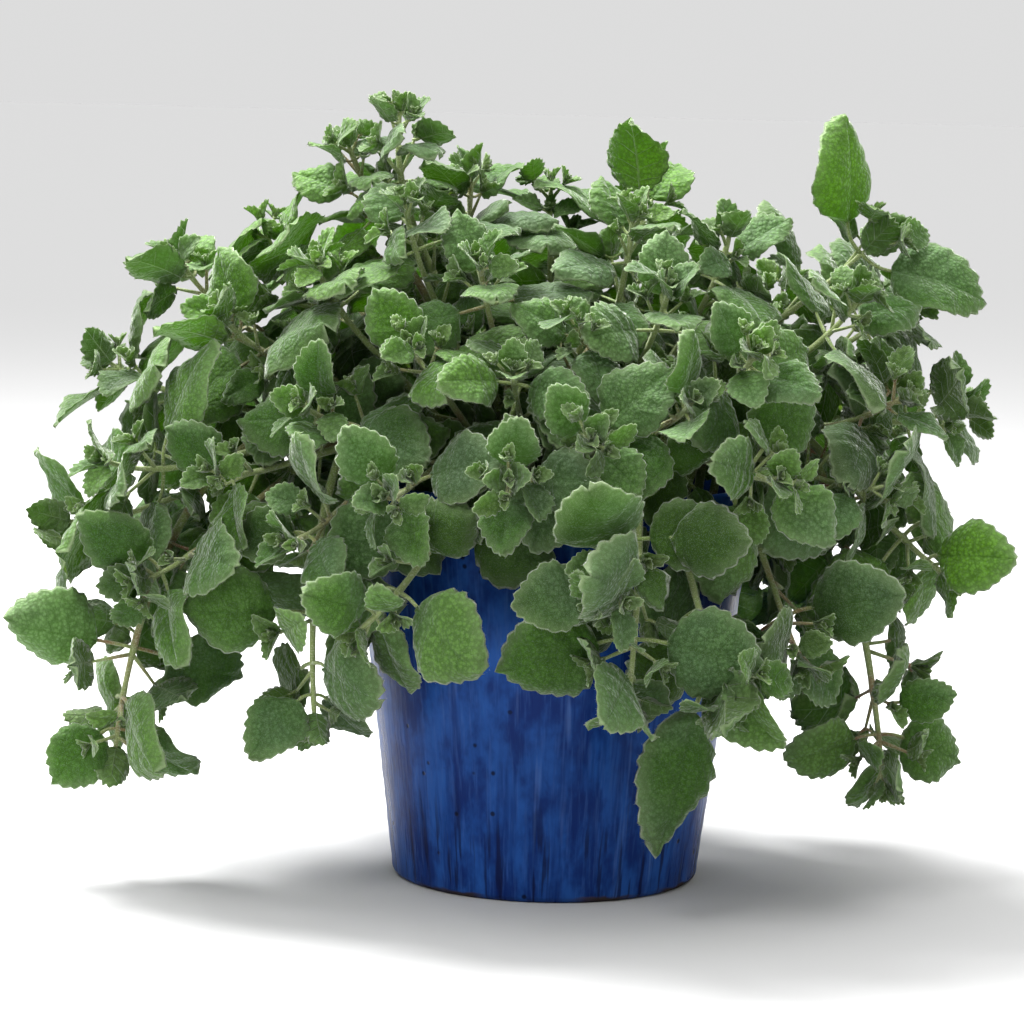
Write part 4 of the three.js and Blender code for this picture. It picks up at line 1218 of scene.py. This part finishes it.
def tube(skin, centres, normals, sides, sizes, around, marks):
    """A tube round a line: sizes are half widths along the normal and the side of each ring. One
    with many points around is square with rounded corners."""
    angles = np.linspace(0, 2 * math.pi, around, endpoint=False) + math.pi / around
    n = np.cos(angles)
    s = np.sin(angles)
    if around > 8:
        size = (np.abs(n) ** SQUARENESS + np.abs(s) ** SQUARENESS) ** (-1 / SQUARENESS)
        n, s = n * size, s * size
    points = (
        centres[:, None, :]
        + normals[:, None, :] * (n[None, :] * sizes[:, :1])[..., None]
        + sides[:, None, :] * (s[None, :] * sizes[:, 1:])[..., None]
    )
    run = np.concatenate([[0], np.cumsum(np.linalg.norm(np.diff(centres, axis=0), axis=1))])
    flat = np.stack(np.broadcast_arrays(angles[None, :] / (2 * math.pi), run[:, None] / 10), -1)
    rings = len(centres)
    marks = np.repeat(marks, around, axis=0)
    first = skin.add(points.reshape(-1, 3), flat.reshape(-1, 2), marks)
    skin.join(first + tube_faces(rings, around)[:, ::-1], STEM_SLOT)
    for ring, flip in ((0, False), (rings - 1, True)):
        middle = skin.add(centres[ring][None], np.zeros((1, 2)), marks[ring * around])
        skin.join(fan_faces(first + ring * around + np.arange(around), middle, flip), STEM_SLOT)
    return points


def add_stalk(skin, leaf):
    """A leaf's stalk, from inside the stem's face to a little way under the midrib."""
    start = leaf.foot - leaf.outward * 1.0
    end = leaf.base + leaf.along * min(3.0, 0.08 * leaf.length)
    end = end - leaf.normal * max(0.5, 0.02 * leaf.length)
    bend = 0.45 * leaf.stalk
    curve = [start, leaf.foot + leaf.outward * bend, leaf.base - leaf.along * bend, end]
    rings, around = (4, 5) if leaf.length < 20 else (6, 6)
    share = np.linspace(0, 1, rings)[:, None]
    rest = 1 - share
    weights = (rest ** 3, 3 * rest ** 2 * share, 3 * rest * share ** 2, share ** 3)
    centres = sum(w * np.array(p)[None] for w, p in zip(weights, curve))
    ahead = np.gradient(centres, axis=0)
    ahead /= np.linalg.norm(ahead, axis=1)[:, None]
    normal = np.array(leaf.grow)[None] * rest + np.array(leaf.normal)[None] * share
    side = np.cross(normal, ahead)
    side /= np.linalg.norm(side, axis=1)[:, None]
    normal = np.cross(ahead, side)
    at_stem, at_blade = (0.55 + leaf.length / 90) * np.array([(1.0, 1.15), (0.6, 0.95)])
    sizes = at_stem[None] * rest + at_blade[None] * share
    marks = np.tile([leaf.tone, leaf.blush, leaf.young, 1.0], (rings, 1))
    tube(skin, centres, normal, side, sizes, around, marks)


def add_stem(skin, stem):
    """A stem from its tip down into the soil, swollen at its leaf pairs."""
    line = stem.line
    lengths = np.linspace(0, line.length, max(12, round(line.length / STEM_RING_EVERY)))
    rings = [line.ring(v) for v in lengths]
    pairs = np.array([r.length + NODE_HALF for r in stem.rings if r.pair is not None])
    near = np.exp(-((lengths[:, None] - pairs[None, :]) / 2.6) ** 2).sum(axis=1)
    half = np.array([r.half for r in rings]) * (0.9 + NODE_SWELL * np.minimum(1, near))
    half[0] *= 0.6
    age = np.clip(lengths / 160, 0, 1)
    tones, blushes = np.full(len(rings), stem.tone), np.full(len(rings), stem.blush)
    return tube(
        skin,
        np.array([r.centre for r in rings]),
        np.array([r.normal for r in rings]),
        np.array([r.side for r in rings]),
        np.column_stack([half, half]),
        STEM_SIDES,
        np.column_stack([tones, blushes, 1 - age, age]),
    )


def add_twig(skin, foot, tip, stem):
    """The short stem of a side shoot."""
    share = np.linspace(0, 1, 4)[:, None]
    centres = np.array(foot) * (1 - share) + np.array(tip) * share
    ahead = (tip - foot).normalized()
    normal = squared(UP + FRONT * 0.3, ahead)
    side = ahead.cross(normal)
    sizes = np.repeat(1.1 - 0.4 * share, 2, axis=1)
    marks = np.tile([stem.tone, stem.blush, 0.6, 0.2], (4, 1))
    tube(skin, centres, np.tile(normal, (4, 1)), np.tile(-side, (4, 1)), sizes, 6, marks)


print("points round a stem:", STEM_SIDES)

# %% Hairs
HAIR_WIDTH = 0.1
STEM_HAIRS = 16
EDGE_HAIRS = 2


def unit(ways):
    """Directions at length 1, a row each."""
    return ways / np.maximum(np.linalg.norm(ways, axis=1), 1e-6)[:, None]


def add_hairs(skin, feet, ways, lengths, tone, chance):
    """Slivers that stand on given points."""
    count = len(feet)
    ways = unit(ways + 0.45 * chance.standard_normal((count, 3)))
    aside = np.cross(ways, chance.standard_normal((count, 3)))
    aside = HAIR_WIDTH / 2 * unit(aside)
    tips = feet + ways * lengths[:, None]
    points = np.stack([feet - aside, feet + aside, tips], axis=1).reshape(-1, 3)
    first = skin.add(points, np.zeros((3 * count, 2)), (tone, 0, 0, 0))
    skin.join(first + np.arange(3 * count).reshape(-1, 3), HAIR_SLOT)


def edge_hairs(skin, leaf, sheet, chance):
    """Hairs along both edges of a blade, pointing out from its middle."""
    for column, inner in ((0, 1), (-1, -2)):
        edge = sheet[1:, column]
        out = edge - sheet[1:, inner]
        share = chance.random((len(edge) - 1, EDGE_HAIRS))
        feet = edge[:-1, None] + (edge[1:] - edge[:-1])[:, None] * share[..., None]
        ways = unit(np.repeat(out[:-1], EDGE_HAIRS, axis=0))
        lengths = (0.4 + 0.5 * chance.random(len(ways))) * (0.7 + leaf.length / 80)
        add_hairs(skin, feet.reshape(-1, 3), ways, lengths, leaf.tone, chance)


def stem_hairs(skin, points, tone, chance):
    """Hairs all round a stem, where it stands above the soil or outside the pot."""
    rings, sides = points.shape[:2]
    middle = points.mean(axis=1)
    count = rings * STEM_HAIRS
    ring = chance.integers(0, rings - 1, count)
    side = chance.integers(0, sides, count)
    share = chance.random(count)[:, None]
    feet = points[ring, side] * (1 - share) + points[ring + 1, side] * share
    ways = unit(feet - (middle[ring] * (1 - share) + middle[ring + 1] * share))
    keep = (feet[:, 2] > SOIL_TOP + 3) | (np.hypot(feet[:, 0], feet[:, 1]) > POT_RIM_RADIUS)
    feet, ways = feet[keep], ways[keep]
    add_hairs(skin, feet, ways, 0.7 + 0.7 * chance.random(len(feet)), tone, chance)


print("a hair's width:", HAIR_WIDTH, "mm")

# %% [markdown]
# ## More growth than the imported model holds
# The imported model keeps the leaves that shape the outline. The real plant has more: a tight
# bud of tiny leaves at each tip, short side shoots in the corners between leaf and stem, and
# older leaves deep inside the crown, some with a side shoot of their own. They are added here
# wherever there is room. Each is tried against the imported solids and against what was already
# added, and left out if it touches. Most pairs of leaves are far apart, so their boxes are
# compared first, all at once, and only close ones are tried face by face.

# %% Room for a new leaf
ABOVE_FLOOR = 4
COARSE_ROWS, COARSE_COLUMNS = 7, 5
LOWEST = np.maximum(np.array(cad_low / MM), (-math.inf, -math.inf, ABOVE_FLOOR))
HIGHEST = np.array(cad_high / MM)


def packed_tree():
    points, faces = [], []
    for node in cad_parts.values():
        start = len(points)
        points += [v.co / MM for v in node.data.vertices]
        faces += [[start + i for i in p.vertices] for p in node.data.polygons]
    return BVHTree.FromPolygons(points, faces)


def coarse_faces():
    row = np.arange(COARSE_ROWS - 1)[:, None] * COARSE_COLUMNS + np.arange(COARSE_COLUMNS - 1)
    below = row + COARSE_COLUMNS
    quads = np.stack([row, row + 1, below + 1, below], axis=-1).reshape(-1, 4)
    return np.concatenate([quads, quads + COARSE_ROWS * COARSE_COLUMNS]).tolist()


PACKED = packed_tree()
COARSE_FACES = coarse_faces()


class Room:
    """A leaf to be tried: two plain sheets, one on each side of its blade, and their box."""

    taken = []
    lows = np.empty((0, 3))
    highs = np.empty((0, 3))

    def __init__(self, leaf, start, space):
        share = np.linspace(start, 1, COARSE_ROWS)
        x = half_width(leaf, share)[:, None] * np.linspace(-1, 1, COARSE_COLUMNS)
        u = np.broadcast_to(share[:, None], x.shape)
        sheets = [blade_points(leaf, u, x, h).reshape(-1, 3) for h in (-space, space)]
        points = np.concatenate(sheets)
        self.low, self.high = points.min(axis=0), points.max(axis=0)
        self.tree = BVHTree.FromPolygons(points.tolist(), COARSE_FACES)
        self.leaf = leaf

    def blade_is_clear(self):
        if (self.low < LOWEST).any() or (self.high > HIGHEST).any() or PACKED.overlap(self.tree):
            return False
        near = (self.low < Room.highs) & (self.high > Room.lows)
        return not any(Room.taken[i].overlap(self.tree) for i in np.flatnonzero(near.all(axis=1)))

    def stalk_is_clear(self):
        way = self.leaf.base - self.leaf.foot
        length = way.length
        if length < 2:
            return True
        way.normalize()
        return PACKED.ray_cast(self.leaf.foot + way * 0.8, way, length - 0.8)[0] is None

    def is_free(self):
        return self.blade_is_clear() and self.stalk_is_clear()

    def take(self):
        Room.taken.append(self.tree)
        Room.lows = np.vstack([Room.lows, self.low])
        Room.highs = np.vstack([Room.highs, self.high])


print("packed faces to keep clear of:", sum(len(n.data.polygons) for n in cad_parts.values()))

# %% Buds, side shoots and older leaves
# each pair's length as a share of the largest, its rise in degrees and its cup
BUD_PAIRS = [(0.58, 66, 0.7), (0.34, 76, 0.9)]
SIDE_PAIRS = [(1.0, 26, 0.35), (0.55, 58, 0.6), (0.3, 74, 0.8)]
SIDE_SHOOT_SIZES = [1.15, 1.0, 0.85, 0.85, 0.7, 0.7]
FEWEST_SIDE_LEAVES = 4
OLD_PAIR = 4
INNER_SHOOT_PAIR = 3
INNER_SHOOT_EVERY = 2
# an older leaf's age darkens its tone: painted shade for leaves deep in the crown
OLD_AGE_SHADE, INNER_SHOOT_AGE_SHADE = 1.0, 0.4
OLD_FINEST, INNER_SHOOT_FINEST = 20, 8


def small_leaf(foot, grow, outward, length, rise, cup, chance, stalk=0.0):
    rise = math.radians(rise + 8 * chance.standard_normal())
    along = (outward * math.cos(rise) + grow * math.sin(rise)).normalized()
    normal = turned(squared(grow, along), along, 9 * chance.standard_normal())
    along = turned(along, normal, 7 * chance.standard_normal())
    return SimpleNamespace(
        pair=0, outward=outward, grow=grow, foot=foot, base=foot + along * stalk, stalk=stalk,
        along=along, normal=normal, length=length, width=0.84 + 0.1 * chance.random(),
        bend=0.15 + 0.3 * chance.random(), cup=cup * (0.8 + 0.4 * chance.random()), wave=0.03,
        phase=chance.random(), age=0.0, finest=math.inf,
    )


def bud(stem, chance):
    """Tiny pairs at a tip, each crosswise to the pair before it."""
    ring = stem.rings[0]
    young = [leaf.length for leaf in stem.leaves if leaf.pair == stem.row.pinched]
    usual = min(young or [stem.row.leaf * LEAF_LENGTHS[0]])
    leaves = []
    for i, (share, rise, cup) in enumerate(BUD_PAIRS):
        way = (ring.normal, ring.side)[(i + stem.row.pinched + 1) % 2]
        foot = ring.centre + ring.grow * (0.4 * i - 0.6)
        for out in (way, -way):
            leaves.append(small_leaf(foot, ring.grow, out, usual * share, rise, cup, chance))
    return leaves


def side_shoot(ring, face, size, chance):
    """A short shoot in the corner above a leaf: its line and its leaves, if they have room."""
    pair = ring.pair or INNER_SHOOT_PAIR
    outward = face_way(ring, face)
    lean = 0.55 + 0.4 * chance.random()
    grow = (outward * lean + ring.grow * 0.75 + UP * 0.35).normalized()
    grow = (grow + FRONT * (0.25 * chance.random())).normalized()
    foot = ring.centre + outward * (0.7 * ring.half) + ring.grow * 2.0
    reach = size * (5 + 3.4 * pair + 4 * chance.random())
    tip = foot + grow * reach
    first = squared(ring.grow.cross(outward), grow)
    first = turned(first, grow, 12 * chance.standard_normal())
    usual = size * (11 + 4.2 * pair) * (0.85 + 0.35 * chance.random())
    rooms = []
    for i, (share, rise, cup) in enumerate(SIDE_PAIRS):
        way = first if i % 2 == 0 else grow.cross(first)
        length = usual * share
        stalk = 0.18 * length if i == 0 else 0.0
        base = tip + grow * (0.05 * usual * i - 1)
        for out in (way, -way):
            leaf = small_leaf(base, grow, out, length, rise, cup, chance, stalk)
            room = Room(leaf, 0.2, 0.5)
            if room.is_free():
                rooms.append(room)
    if len(rooms) < FEWEST_SIDE_LEAVES:
        return None, []
    for room in rooms:
        room.take()
    return (foot - outward, tip), [room.leaf for room in rooms]


def older_leaves(stem, chance):
    """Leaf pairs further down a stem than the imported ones, as far as the soil lets them, and the
    places where they stand."""
    last = [r for r in stem.rings if r.pair is not None][-1]
    back = last.length + NODE_HALF
    faces = pair_faces(last.pair)
    source = iter(chance.random, None)
    leaves, places = [], []
    while True:
        back += 15 + 8 * chance.random()
        if back > stem.line.foot_top() - 4:
            return leaves, places
        faces = (3, 1) if faces == (0, 2) else (0, 2)
        ring, low = stem.line.ring(back - NODE_HALF), stem.line.ring(back + NODE_HALF)
        for face in faces:
            drawn = leaf_draws(OLD_PAIR, source)
            for bend in BENDS:
                leaf = place_leaf(stem.row, ring, low, face, OLD_PAIR, drawn, bend)
                room = Room(leaf, 0.1, 1.0)
                if room.is_free():
                    room.take()
                    leaf.age, leaf.finest = OLD_AGE_SHADE, OLD_FINEST
                    leaves.append(leaf)
                    places.append((ring, face))
                    break


def grow_more(stem, chance):
    """Adds older leaves, a bud and side shoots to a stem. Every second older leaf gets a shoot."""
    stem.older, inner = older_leaves(stem, chance)
    stem.buds = bud(stem, chance)
    stem.sides = []
    outer = [(ring, face) for ring in stem.rings if ring.pair for face in pair_faces(ring.pair)]
    for ring, face in outer + inner[::INNER_SHOOT_EVERY]:
        for size in SIDE_SHOOT_SIZES:
            line, leaves = side_shoot(ring, face, size, chance)
            if leaves:
                stem.sides.append((line, leaves))
                break
        if ring.pair is None:
            for leaf in leaves:
                leaf.age, leaf.finest = INNER_SHOOT_AGE_SHADE, INNER_SHOOT_FINEST


for i, stem in enumerate(stems):
    grow_more(stem, np.random.default_rng(SEED + 1000 + i))
print("older leaves:", sum(len(s.older) for s in stems), "side shoots:",
      sum(len(s.sides) for s in stems), "with leaves:",
      sum(len(leaves) for s in stems for line, leaves in s.sides))

# %% [markdown]
# ## Felted leaves
# The leaf's felt scatters light: a sheen makes it look pale where it is seen at a low angle, a
# band towards its edge is paler, partly the felt and partly painted sheen, and it hardly shines.
# Under it the blade lets some light through, so leaves against the light turn yellow-green, and
# some leaves are painted yellow-green too, painted sunlight. The net of fine cells has painted
# shade in its low borders, and the upper side's veins have painted shade in their grooves. The
# pattern is worked out from the points' marks: tone, painted sunlight, youth and the distance to
# the edge, and from the flat coordinate that counts side veins from stalk to tip.

# %% Materials of leaf, stem and hair
UPPER_GREENS = srgb(26, 52, 14), srgb(58, 104, 28), srgb(112, 156, 70)
UNDER_GREENS = srgb(50, 74, 34), srgb(86, 112, 60), srgb(124, 148, 94)
# the upper side's vein colour is painted shade in the vein grooves; the underside's is the veins'
# own pale colour
UPPER_VEIN_SHADE, UNDER_VEIN = srgb(44, 80, 24), srgb(142, 158, 116)
GREY_FELT, PALE_FELT, RIM_FELT = srgb(100, 130, 92), srgb(178, 198, 156), srgb(190, 206, 164)
# the sun green is painted sunlight, a yellow-green that stands in for light from behind
PAINTED_SUN_GREEN, YOUNG_GREEN, CLOUD_GREEN = srgb(108, 164, 24), srgb(158, 176, 108), srgb(88, 128, 58)
# the edge green is partly the felt and partly painted sheen
CELL_GREEN, EDGE_FELT_AND_SHEEN = srgb(140, 176, 104), srgb(150, 176, 124)
GLOW, LEAF_SHEEN = srgb(150, 194, 30), srgb(236, 242, 228)
STEM_GREENS, YOUNG_STEM = (srgb(110, 132, 66), srgb(146, 162, 100)), srgb(160, 174, 120)
STEM_RED, STEM_FELT, STEM_SHEEN = srgb(132, 84, 70), srgb(196, 200, 176), srgb(226, 232, 214)
HAIR = srgb(206, 216, 188)


def point_marks(s):
    """The four marks that each point carries."""
    marks = s.node("Attribute", attribute_name="marks", attribute_type="GEOMETRY").outputs
    parts = s.node("SeparateColor", {0: marks["Color"]}).outputs
    return parts[0], parts[1], parts[2], marks["Alpha"]


def vein_lines(s):
    """1 on a midrib or a side vein, falling to 0 beside it."""
    place = s.node("SeparateXYZ", {0: s.node("UVMap", uv_map="flat").outputs[0]}).outputs
    aside = s.math("ABSOLUTE", s.math("SUBTRACT", place[0], 0.5))
    along = s.math("FRACT", place[1])
    near = s.math("ABSOLUTE", s.math("SUBTRACT", along, 0.5))
    side_vein = s.math("MULTIPLY", s.band(near, 0.455, 0.5), s.band(aside, 0.48, 0.2))
    midrib = s.band(aside, 0.035, 0.0)
    return s.math("MAXIMUM", side_vein, midrib)


def woolly_leaf(name, greens, vein_colour_and_shade, vein_share, vein_depth):
    s = Shader(name)
    tone, sun, young, inside = point_marks(s)
    place = s.place()
    veins = vein_lines(s)
    net, _ = s.cells(500.0, place)
    felt = s.noise(2600.0, place, detail=0.0)
    dark, mid, pale = greens

    # the leaf's own tone, with painted shade that darkens older inner leaves, then what differs
    # over the plant
    colour = s.mix(s.band(tone, 0.0, 0.5), dark, mid)
    colour = s.mix(s.band(tone, 0.5, 1.0), colour, pale)
    grey = s.noise(17.0, place, detail=0.0)
    colour = s.mix(s.band(grey, 0.42, 0.6, 0.0, 0.6), colour, GREY_FELT)
    # painted sunlight: a yellow-green that stands in for light from behind, on the leaves that the
    # second mark picks out
    colour = s.mix(s.math("MULTIPLY", sun, 0.85), colour, PAINTED_SUN_GREEN)
    colour = s.mix(s.math("MULTIPLY", young, 0.6), colour, YOUNG_GREEN)

    # clouds, the net of cells with painted shade in its low borders, an edge band of felt and
    # painted sheen, veins with painted shade on the upper side, and felt
    cloud = s.noise(55.0, place, detail=0.0)
    colour = s.mix(s.band(cloud, 0.35, 0.7, 0.0, 0.3), colour, CLOUD_GREEN)
    # painted shade: the net's low borders are darker, and the raised middles of its cells paler
    colour = s.mix(s.band(net, 0.3, 0.6, 0.0, 0.5), colour, dark)
    colour = s.mix(s.band(net, 0.25, 0.0, 0.0, 0.2), colour, CELL_GREEN)
    # a paler band towards the edge: partly the felt, partly painted sheen
    colour = s.mix(s.band(inside, 0.25, 0.0, 0.0, 0.25), colour, EDGE_FELT_AND_SHEEN)
    # veins: pale on the underside; on the upper side darker, painted shade in their grooves
    colour = s.mix(s.math("MULTIPLY", veins, vein_share), colour, vein_colour_and_shade)
    colour = s.mix(s.band(felt, 0.52, 0.72, 0.0, 0.22), colour, PALE_FELT)
    rim = s.math("MULTIPLY", s.band(inside, 0.032, 0.008), s.band(young, 0.0, 0.5, 0.4, 0.85))
    colour = s.mix(rim, colour, RIM_FELT)

    height = s.math("SUBTRACT", s.math("MULTIPLY", felt, 0.25), s.math("MULTIPLY", net, 1.2))
    height = s.math("SUBTRACT", height, s.math("MULTIPLY", veins, vein_depth))
    bump = s.node("Bump", {"Strength": 0.8, "Distance": 0.0006, "Height": height}).outputs[0]
    body = s.node("BsdfPrincipled", {
        "Base Color": colour, "Roughness": 0.7, "Specular IOR Level": 0.2, "Sheen Weight": 1.0,
        "Sheen Roughness": 0.32, "Sheen Tint": LEAF_SHEEN, "Normal": bump,
    })
    glow = s.node("BsdfTranslucent", {"Color": s.mix(0.65, colour, GLOW)})
    both = s.node("MixShader", {0: 0.35, 1: body.outputs[0], 2: glow.outputs[0]})
    return s.finish(both.outputs[0])


def woolly_stem():
    s = Shader("woolly stem")
    tone, blush, young, _ = point_marks(s)
    place = s.place()
    felt = s.noise(1500.0, place, detail=0.0)
    patches = s.noise(90.0, place, detail=0.0)
    colour = s.mix(tone, *STEM_GREENS)
    colour = s.mix(s.math("MULTIPLY", blush, s.band(patches, 0.3, 0.7)), colour, STEM_RED)
    colour = s.mix(s.math("MULTIPLY", young, 0.4), colour, YOUNG_STEM)
    colour = s.mix(s.band(felt, 0.5, 0.75, 0.0, 0.5), colour, STEM_FELT)
    bump = s.node("Bump", {"Strength": 0.5, "Distance": 0.0005, "Height": felt}).outputs[0]
    body = s.node("BsdfPrincipled", {
        "Base Color": colour, "Roughness": 0.8, "Specular IOR Level": 0.2, "Sheen Weight": 0.6,
        "Sheen Roughness": 0.45, "Sheen Tint": STEM_SHEEN, "Normal": bump,
    })
    return s.finish(body.outputs[0])


def pale_hair():
    s = Shader("pale hair")
    body = s.node("BsdfPrincipled", {
        "Base Color": HAIR, "Roughness": 0.6, "Specular IOR Level": 0.3,
    })
    return s.finish(body.outputs[0])


FOLIAGE = [
    # the upper side's darker vein colour is painted shade in the grooves
    woolly_leaf("woolly leaf", UPPER_GREENS, UPPER_VEIN_SHADE, 0.4, 0.3),
    woolly_leaf("woolly leaf underside", UNDER_GREENS, UNDER_VEIN, 0.5, -1.1),
    woolly_stem(),
    pale_hair(),
]
print("foliage materials:", [m.name for m in FOLIAGE])

# %% [markdown]
# ## Tones, and the finished stems
# No two leaves of the real plant have quite the same green. Stems differ most, small leaves are
# paler, inner leaves are painted darker, painted shade that deepens with a leaf's age, and a few
# of the upper ones are painted yellow-green, painted sunlight that stands in for light from
# behind. Chances give most of that, and a short list of places, read off the photograph, gives
# the painted sunlit ones. Then each stem is put together with all that grows on it and takes its
# packed stem's place.

# %% Tones: which leaves are pale, and which get painted shade inside the crown or painted sunlight
# places, as x and z, around which leaves get painted sunlight, a yellow-green that stands in for
# light from behind
PAINTED_SUN_PLACES = [(-180, 268), (-149, 309), (-152, 337), (206, 163), (146, 352), (45, 358), (-107, 320)]
PAINTED_SUN_REACH = 26.0
YOUNG_LENGTH = 22
YOUNG_CURL, CURL = 0.03, 0.1


def tone_leaf(leaf, stem, chance):
    centre = leaf.base + leaf.along * (0.5 * leaf.length)
    # the tone is random, and older inner leaves are painted darker: painted shade deep in the crown
    tone = stem.tone + 0.24 * chance.standard_normal() - 0.7 * leaf.age
    leaf.tone = min(1, max(0, tone))
    # painted sunlight near the listed places, on a few leaves at random, and a little on older
    # leaves
    off = min(math.hypot(centre.x - x, centre.z - z) for x, z in PAINTED_SUN_PLACES)
    lit = math.exp(-(off / PAINTED_SUN_REACH) ** 2)
    leaf.sun = min(1, lit + 0.5 * chance.random() ** 4 + 0.15 * leaf.age)
    leaf.young = max(0, 1 - leaf.length / YOUNG_LENGTH)
    curl = YOUNG_CURL if leaf.length < YOUNG_LENGTH else CURL
    leaf.curl = curl * (0.4 + 1.2 * chance.random())
    leaf.blush = stem.blush


def woolly_piece(number, stem):
    """One whole stem as a piece. Gives its number of triangles."""
    chance = np.random.default_rng(SEED + 2000 + number)
    stem.tone = 0.45 + 0.16 * chance.standard_normal()
    stem.blush = float(chance.random() < 0.3) * (0.4 + 0.5 * chance.random())
    skin = Skin()
    points = add_stem(skin, stem)
    leaves = stem.leaves + stem.older + stem.buds
    for (foot, tip), side_leaves in stem.sides:
        leaves += side_leaves
        add_twig(skin, foot, tip, stem)
    for leaf in leaves:
        tone_leaf(leaf, stem, chance)
        sheet = add_blade(skin, leaf, chance)
        if leaf.stalk:
            add_stalk(skin, leaf)
        if leaf in stem.leaves:
            edge_hairs(skin, leaf, sheet, chance)
    stem_hairs(skin, points, stem.tone, chance)
    piece = skin.piece(f"woolly_stem_{number:02d}", FOLIAGE)
    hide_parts(stem.name)
    return skin.triangles()


counts = [woolly_piece(i, stem) for i, stem in enumerate(stems, 1)]
print("foliage triangles:", sum(counts), "largest piece:", max(counts))
